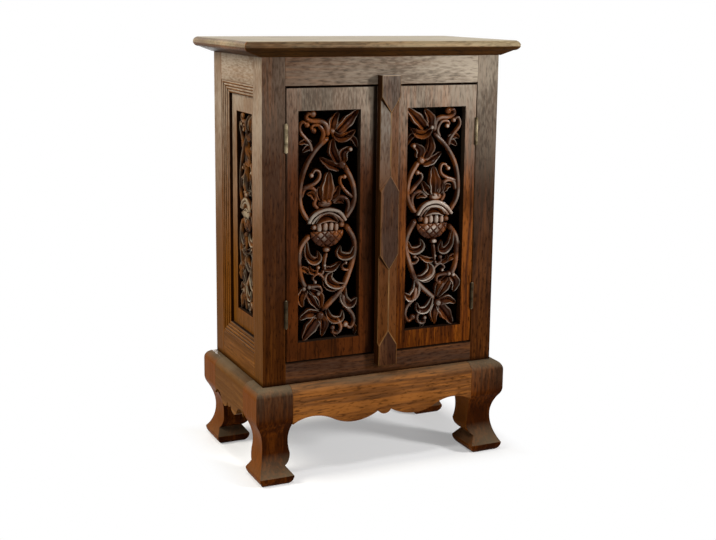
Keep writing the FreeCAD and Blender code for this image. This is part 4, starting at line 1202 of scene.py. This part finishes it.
    def build(self, material: bpy.types.Material) -> bpy.types.Object:
        """Carves the whole panel, which stands for the plain one.

        Args:
            material: finish of the carving.

        Returns:
            The carved panel.
        """
        self.add_rim()
        for stroke in STROKES:
            self.carve_stroke(stroke)
        for bead in BEADS:
            width, height = bead.width * self.size.weight, bead.height * self.size.weight
            self.carve_bead(self.spot(bead.place), width, height, bead.rise * self.share.z)
        self.carve_bowl()
        bpy.data.meshes.remove(self.scratch)
        shape = self.whole
        bmesh.ops.scale(shape, vec=(MM, MM, MM), verts=shape.verts)
        bmesh.ops.transform(shape, matrix=self.to_world, verts=shape.verts)
        if self.to_world.determinant() < 0:
            bmesh.ops.reverse_faces(shape, faces=shape.faces)
        smooth_faces(shape, self.hard)
        body = frame["nodes"][self.node]["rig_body"]
        piece = finish_piece(shape, f"{self.node}_carved", material, body)
        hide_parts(self.node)
        return piece


# Heights between which the darkening above the floor of the body fades
SILL_MM: Point = (159.5, 167.0)
# Broad figure of the wide boards in the doors
DOOR_FIGURE = Pattern(34.0, 3.0, 0.8)


@dataclass(frozen=True)
class Stains:
    """Tones of stain, sun and hands, and painted sheen, highlights and shade, for each kind of board."""

    # Left posts, side panels and upright mouldings: mid brown, with painted sheen towards the top
    upright: StainedHardwood = StainedHardwood(
        "stained_hardwood_upright", Grain.UPRIGHT, bloom_share=0.38, sill_mm=SILL_MM
    )
    # Right posts: a darker copy of the upright stain, painted shade
    right_post: StainedHardwood = StainedHardwood(
        "stained_hardwood_right_post", Grain.UPRIGHT, dark="#220f04", middle="#321808", warm="#46250c",
        bloom_share=0.37, film_share=0.04, sill_mm=SILL_MM,
    )
    # Cover strip: greyer, with pale rubbed edges, and painted sheen and amber painted highlights on its
    # chamfers and ledges
    batten: StainedHardwood = StainedHardwood(
        "stained_hardwood_batten", Grain.UPRIGHT, dark="#2c160a", middle="#4a2d19", warm="#5e3b20",
        worn="#8f6a3e", amber="#6e3b0a", bloom="#8d857a", bloom_share=0.28, bloom_left=1.0,
        side_share=0.06, rub_gain=4.8, rub_amber=0.6, wear_least=0.1, film_share=0.06,
        film_mm=(140.0, 340.0),
    )
    # Front and back rails: painted sheen at the upper right, and darker just above the base
    across: StainedHardwood = StainedHardwood(
        "stained_hardwood_across", Grain.ACROSS, bloom_share=0.58, bloom_left=0.2, film_share=0.05,
        film_mm=(100.0, 160.0), sill_mm=SILL_MM,
    )
    # Side rails and level mouldings: warmer
    deep: StainedHardwood = StainedHardwood(
        "stained_hardwood_deep", Grain.DEEP, middle="#482609", warm="#633a0f", sill_mm=SILL_MM
    )
    # Right door: red brown, with broad figure
    right_door: StainedHardwood = StainedHardwood(
        "stained_hardwood_door", Grain.UPRIGHT, dark="#2b1204", middle="#441f07", warm="#68360c",
        figure=DOOR_FIGURE, bloom_share=0.58, bloom_left=0.6,
    )
    # Left door: a darker copy, painted shade, with painted sheen at its top only and the painted shadow
    # of the cover strip along its meeting edge
    left_door: StainedHardwood = StainedHardwood(
        "stained_hardwood_left_door", Grain.UPRIGHT, dark="#1e0d04", middle="#2f1507", warm="#47220b",
        figure=DOOR_FIGURE, bloom_mm=(470.0, 690.0), bloom_share=1.0, bloom_left=0.3,
        soil_mm=(-23.0, -18.0), film_share=0.02, film_mm=(300.0, 480.0),
    )
    # Legs: dark red brown, with painted warm light at the sides, and dust with painted sheen where they
    # look up
    leg: StainedHardwood = StainedHardwood(
        "stained_hardwood_leg", Grain.UPRIGHT, dark="#240d03", middle="#341604", warm="#4f2607",
        pore="#180903", worn="#4a2a14", amber="#8a4d12", amber_share=0.4, dust_share=0.3,
        bloom="#94866c", film_share=0.08, film_mm=(95.0, 150.0),
    )
    # Front and back aprons: light brown, where the stain has faded
    apron: StainedHardwood = StainedHardwood(
        "stained_hardwood_apron", Grain.ACROSS, dark="#43240c", middle="#5c3413", warm="#794719",
        pore="#2c1506", bloom="#94866c", film_share=0.04, film_mm=(60.0, 120.0),
    )
    # Side aprons: light brown, with more dust and painted sheen where they look up
    side_apron: StainedHardwood = StainedHardwood(
        "stained_hardwood_side_apron", Grain.DEEP, dark="#39200b", middle="#50300f", warm="#6d4619",
        pore="#231206", dust_share=0.3, bloom="#94866c",
    )
    # Top: a soft real shine, painted sheen, dust with painted sheen, and painted amber light with
    # painted shade on the bevel below
    top: StainedHardwood = StainedHardwood(
        "stained_hardwood_top", Grain.ACROSS, bloom="#b2a381", bloom_share=0.28, dust_share=0.5,
        dust_facing=(0.85, 0.95), gloss=0.11, rub_amber=0.3, side_share=0.42, amber_share=0.05,
    )
    # Inside: near black and dull; its painted sheen is as dark as the wood
    inside: StainedHardwood = StainedHardwood(
        "dark_stained_inside", Grain.ACROSS, dark="#0f0704", middle="#1c0f08", warm="#2a180d",
        worn="#2a180d", bloom="#2a1c12", amber_share=0.0, roughness=0.5,
    )


@dataclass
class Cabinet:
    """Carcass, base and doors, board by board.

    A face that looks less straight out than its kind of board asks for is an edge or a hollow, and
    gets painted shade. Rails get it on the faces that lean down to the doors or up from the base.
    """

    joinery: Joinery
    stains: Stains = Stains()
    leg_edge_mm: float = 2.6
    # Faces that look less straight out than these get painted shade
    panel_out: float = 0.8
    moulding_out: float = 0.5
    door_out: float = 0.95
    lean: float = 0.3
    # Cover strip and top: leans that make a face square, level, sloped or a chamfer, and their painted
    # shade and painted highlights
    square: float = 0.9
    level: float = 0.95
    slope: float = 0.2
    chamfer: float = 0.6
    under_wax: float = 0.95
    left_wax: float = 0.8
    chamfer_wax: float = 0.35
    right_rub: float = 0.3
    top_under_wax: float = 0.92
    top_wax_fall: float = 0.7

    def batten_wax(self, way: Vector) -> float:
        """Gives the painted shade on the cover strip, most under its blocks and on its left side.

        Args:
            way: normal of a face.

        Returns:
            Share of painted shade, 0 to 1.
        """
        under = self.under_wax * (-self.square < way.z < -self.slope)
        left = self.left_wax * (way.x < -self.square)
        chamfers = self.chamfer_wax * (self.slope < abs(way.x) < self.chamfer)
        return max(under, left, chamfers)

    def batten_rub(self, way: Vector) -> float:
        """Gives the painted highlight on the cover strip, most on its left chamfers and its ledges.

        Args:
            way: normal of a face.

        Returns:
            Share of painted highlight, 0 to 1.
        """
        left = -self.chamfer < way.x < -self.slope
        right = self.slope < way.x < self.chamfer
        return max(1.0 * left, 1.0 * (way.z > self.slope), self.right_rub * right)

    def top_wax(self, way: Vector) -> float:
        """Gives the painted shade under the top, less of it at the sides."""
        return (way.z < -self.slope) * (self.top_under_wax - self.top_wax_fall * abs(way.x))

    def top_rub(self, way: Vector) -> float:
        """Gives the painted highlight on the top, on its lower bevel only."""
        return 1.0 * (-self.level < way.z < -self.slope)

    def build(self) -> None:
        """Eases and stains every board."""
        ease = self.joinery.ease
        stain = {kind.name: getattr(self.stains, kind.name).material() for kind in fields(self.stains)}
        posts = {"left": stain["upright"], "right": stain["right_post"]}
        strips = {"top": "deep", "bottom": "deep", "front": "upright", "back": "upright"}
        for end in ("front", "back"):
            # Painted shade on faces that lean down from the top rails and up from the bottom rails
            ease(f"{end}_top_rail", stain["across"], lambda way: way.z < -self.lean)
            ease(f"{end}_bottom_rail", stain["across"], lambda way: way.z > self.lean)
            ease(f"{end}_apron", stain["apron"])
            for side in SIDES:
                ease(f"{end}_{side}_post", posts[side])
                ease(f"{end}_{side}_leg", stain["leg"], edge_mm=self.leg_edge_mm)
        for side in SIDES:
            ease(f"{side}_top_rail", stain["deep"])
            ease(f"{side}_bottom_rail", stain["deep"])
            ease(f"{side}_side_panel", stain["upright"], lambda way: abs(way.x) < self.panel_out)
            for strip, kind in strips.items():
                ease(f"{side}_{strip}_moulding", stain[kind], lambda way: abs(way.x) < self.moulding_out)
            ease(f"{side}_apron", stain["side_apron"])
            ease(f"{side}_door_leaf", stain[f"{side}_door"], lambda way: abs(way.y) < self.door_out)
            ease(f"{side}_shelf_cleat", stain["inside"], slot="inner_wood")
        ease("door_batten", stain["batten"], self.batten_wax, self.batten_rub)
        ease("top_board", stain["top"], self.top_wax, self.top_rub)
        for board in ("cabinet_floor", "back_panel", "shelf", "door_stop_strip", "top_dowels"):
            ease(board, stain["inside"], slot="inner_wood")


@dataclass
class Carvings:
    """The four pierced panels, one in each door and one in each side wall."""

    # Right door: the palest crests
    plain: CarvedHardwood = CarvedHardwood()
    # Left door: a darker copy with browner crests, painted shade
    shaded: CarvedHardwood = CarvedHardwood("carved_shaded_hardwood", worn="#8f8478", gloss=0.095)
    # Walls: duller and less red
    weathered: CarvedHardwood = CarvedHardwood(
        "carved_weathered_hardwood", flank="#281406", crest="#281c12", ember="#774617", worn="#94866f",
        roughness=0.45, gloss=0.04,
    )
    door: PanelSize = PanelSize((106.0, 368.0), 13.0, 2.2, 7.0)
    wall: PanelSize = PanelSize((72.0, 330.0), 8.0, 1.4, 5.0, 0.9)
    seeds: tuple[int, ...] = (11, 12, 13, 14)

    def build(self) -> None:
        """Carves the panels of both doors, then those of both walls."""
        right, front = Vector((1.0, 0.0, 0.0)), Vector((0.0, -1.0, 0.0))
        shaded, plain, weathered = (
            finish.material() for finish in (self.shaded, self.plain, self.weathered)
        )
        panels = (
            ("left_door_fretwork", right, front, self.door, shaded),
            ("right_door_fretwork", -right, front, self.door, plain),
            ("left_side_fretwork", front, -right, self.wall, weathered),
            ("right_side_fretwork", front, right, self.wall, weathered),
        )
        for seed, (node, across, out, size, finish) in zip(self.seeds, panels):
            CarvedPanel(node, seed, across, out, size).build(finish)


@dataclass
class SideLining:
    """Dark cloth stretched over the inside of each pierced side panel, above and below the shelf."""

    cloth: BlackCotton = BlackCotton()
    margin_mm: float = 9.0
    clear_mm: float = 0.4
    thickness_mm: float = 0.6
    ripple_mm: float = 0.25
    ripple_turn: Point = (160.0, 190.0)
    steps: tuple[int, int] = (12, 30)

    def sheet(self, side: str, part: str, low: float, high: float, material: bpy.types.Material) -> None:
        """Makes one sheet of the lining.

        Args:
            side: side of the cabinet.
            part: part of the side that it covers.
            low: height of its lower edge.
            high: height of its upper edge.
            material: finish of the cloth.
        """
        panel_low, panel_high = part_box(f"{side}_side_fretwork")
        inner, inward = (panel_high.x, 1.0) if side == "left" else (panel_low.x, -1.0)
        width = panel_high.y - panel_low.y + 2 * self.margin_mm * MM
        shape = bmesh.new()
        made = bmesh.ops.create_grid(shape, x_segments=self.steps[0], y_segments=self.steps[1], size=0.5)
        bmesh.ops.scale(shape, vec=(width, high - low, 1.0), verts=made["verts"])
        for vert in made["verts"]:
            pull = math.sin(vert.co.y * self.ripple_turn[1]) * math.cos(vert.co.x * self.ripple_turn[0])
            vert.co.z = (self.thickness_mm + self.ripple_mm * (1 + pull)) * MM
        place = Matrix((
            (0.0, 0.0, inward, inner),
            (1.0, 0.0, 0.0, (panel_low.y + panel_high.y) / 2),
            (0.0, 1.0, 0.0, (low + high) / 2),
            (0.0, 0.0, 0.0, 1.0),
        ))
        bmesh.ops.transform(shape, matrix=place, verts=made["verts"])
        bmesh.ops.solidify(shape, geom=shape.faces[:], thickness=self.thickness_mm * MM * inward)
        bmesh.ops.recalc_face_normals(shape, faces=shape.faces)
        smooth_faces(shape)
        piece = finish_piece(shape, f"{side}_{part}_lining", material, "carcass")

    def build(self) -> None:
        """Lines both sides, clear of the shelf and its cleats."""
        cotton = self.cloth.material()
        edge, clear = metres(self.margin_mm, self.clear_mm)
        for side in SIDES:
            panel_low, panel_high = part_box(f"{side}_side_fretwork")
            cleat_low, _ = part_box(f"{side}_shelf_cleat")
            _, shelf_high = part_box("shelf")
            self.sheet(side, "lower", panel_low.z - edge, cleat_low.z - clear, cotton)
            self.sheet(side, "upper", shelf_high.z + clear, panel_high.z + edge, cotton)


@dataclass
class Hardware:
    """Brass hinges and steel screws. The lower hinges are darker, nearly black."""

    brass: WornMetal = WornMetal("dull_rolled_brass", "#857860", "#463c2a", Pattern(14.0, 3.0), 0.5)
    black: WornMetal = WornMetal("dark_rolled_brass", "#3f3526", "#17120c", Pattern(14.0, 3.0), 0.5)
    steel: WornMetal = WornMetal("dull_steel", "#8d8880", "#4c4640", Pattern(3.0, 3.0), 0.45)

    def build(self) -> None:
        """Gives hinges, pins and screws their metal."""
        # The first word that a name holds decides
        metals = {
            "lower_hinge": self.black.material(),
            "screw": self.steel.material(),
            "hinge": self.brass.material(),
        }
        for name, node in frame["nodes"].items():
            metal = next((metals[word] for word in metals if word in name), None)
            if metal:
                node.data.materials.clear()
                node.data.materials.append(metal)
                LOG.info("%s: %s", name, metal.name)


@dataclass(frozen=True)
class Softbox:
    """One soft lamp: the middle of its front, its width and height, power in watts and tint."""

    name: str
    place: Triple
    size: Point
    power: float
    tint: str = WHITE

    def hang(self, aim: Vector) -> None:
        """Hangs the lamp.

        Args:
            aim: point that it faces.
        """
        data = bpy.data.lights.new(self.name, "AREA")
        data.shape = "RECTANGLE"
        data.size, data.size_y = self.size
        data.energy = self.power
        data.color = linear(self.tint)[:3]
        lamp = bpy.data.objects.new(self.name, data)
        lamp.location = self.place
        lamp.rotation_euler = (aim - Vector(self.place)).to_track_quat("-Z", "Y").to_euler()
        bpy.context.scene.collection.objects.link(lamp)


@dataclass
class Studio:
    """White paper sweep, four soft lamps and the camera at the portrait's angle."""

    eye: Triple = (-0.841, -1.831, 0.760)
    yaw: float = math.radians(24.90)
    pitch: float = math.radians(10.61)
    roll: float = math.radians(0.64)
    focal_px: float = 1205.0
    image_width_px: int = 716
    sensor_mm: float = 36.0
    rise: float = -0.060
    paper: PaperSweep = PaperSweep()
    floor_half: float = 6.0
    room_light: float = 0.06
    aim: Triple = (0.0, 0.0, 0.38)
    lamps: tuple[Softbox, ...] = (
        Softbox("left_softbox", (-1.7, 0.1, 1.6), (0.9, 0.9), 47.0, "#fffaf0"),
        Softbox("front_softbox", (1.95, -2.15, 1.15), (0.5, 0.5), 99.0),
        Softbox("back_softbox", (0.5, 2.2, 0.36), (0.8, 0.5), 26.0),
        Softbox("top_softbox", (-0.5, -1.0, 2.3), (0.35, 0.35), 16.0),
    )

    def camera(self) -> None:
        """Sets up the camera."""
        data = bpy.data.cameras.new("portrait_camera")
        data.sensor_width = self.sensor_mm
        data.lens = self.focal_px / self.image_width_px * self.sensor_mm
        data.shift_y = self.rise
        forward = Vector((
            math.sin(self.yaw) * math.cos(self.pitch),
            math.cos(self.yaw) * math.cos(self.pitch),
            -math.sin(self.pitch),
        ))
        level = Vector((math.cos(self.yaw), -math.sin(self.yaw), 0.0))
        upright = level.cross(forward)
        right = level * math.cos(self.roll) + upright * math.sin(self.roll)
        up = upright * math.cos(self.roll) - level * math.sin(self.roll)
        turn = Matrix((right, up, -forward)).transposed().to_4x4()
        turn.translation = Vector(self.eye)
        camera = bpy.data.objects.new("portrait_camera", data)
        camera.matrix_world = turn
        bpy.context.scene.collection.objects.link(camera)
        bpy.context.scene.camera = camera

    def floor(self) -> None:
        """Lays the paper sweep."""
        shape = bmesh.new()
        bmesh.ops.create_grid(shape, x_segments=1, y_segments=1, size=self.floor_half)
        data = bpy.data.meshes.new("paper_floor")
        shape.to_mesh(data)
        shape.free()
        data.materials.append(self.paper.material())
        sheet = bpy.data.objects.new("paper_floor", data)
        bpy.context.scene.collection.objects.link(sheet)

    def room(self, add: Adder) -> Socket:
        """Lays out even white light that shows as plain white."""
        level = add("MapRange", (direct_rays(add), 0.0, 1.0, self.room_light, 1.0))
        return add("Background", {"Color": linear(WHITE), "Strength": level})

    def build(self) -> None:
        """Sets up floor, room, lamps and camera."""
        self.floor()
        world = bpy.data.worlds.new("white_room")
        bpy.context.scene.world = world
        world.use_nodes = True
        lay_out(world.node_tree, "ShaderNodeOutputWorld", self.room)
        for lamp in self.lamps:
            lamp.hang(Vector(self.aim))
        self.camera()
        bpy.context.scene.view_settings.view_transform = "Standard"


def main() -> None:
    """Dresses the cabinet, piece by piece, and sets up the studio."""
    logging.basicConfig(level=logging.INFO, format="%(name)s: %(message)s")
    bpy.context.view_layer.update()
    Cabinet(Joinery()).build()
    Carvings().build()
    SideLining().build()
    Hardware().build()
    Studio().build()


if __name__ == "__main__":
    main()
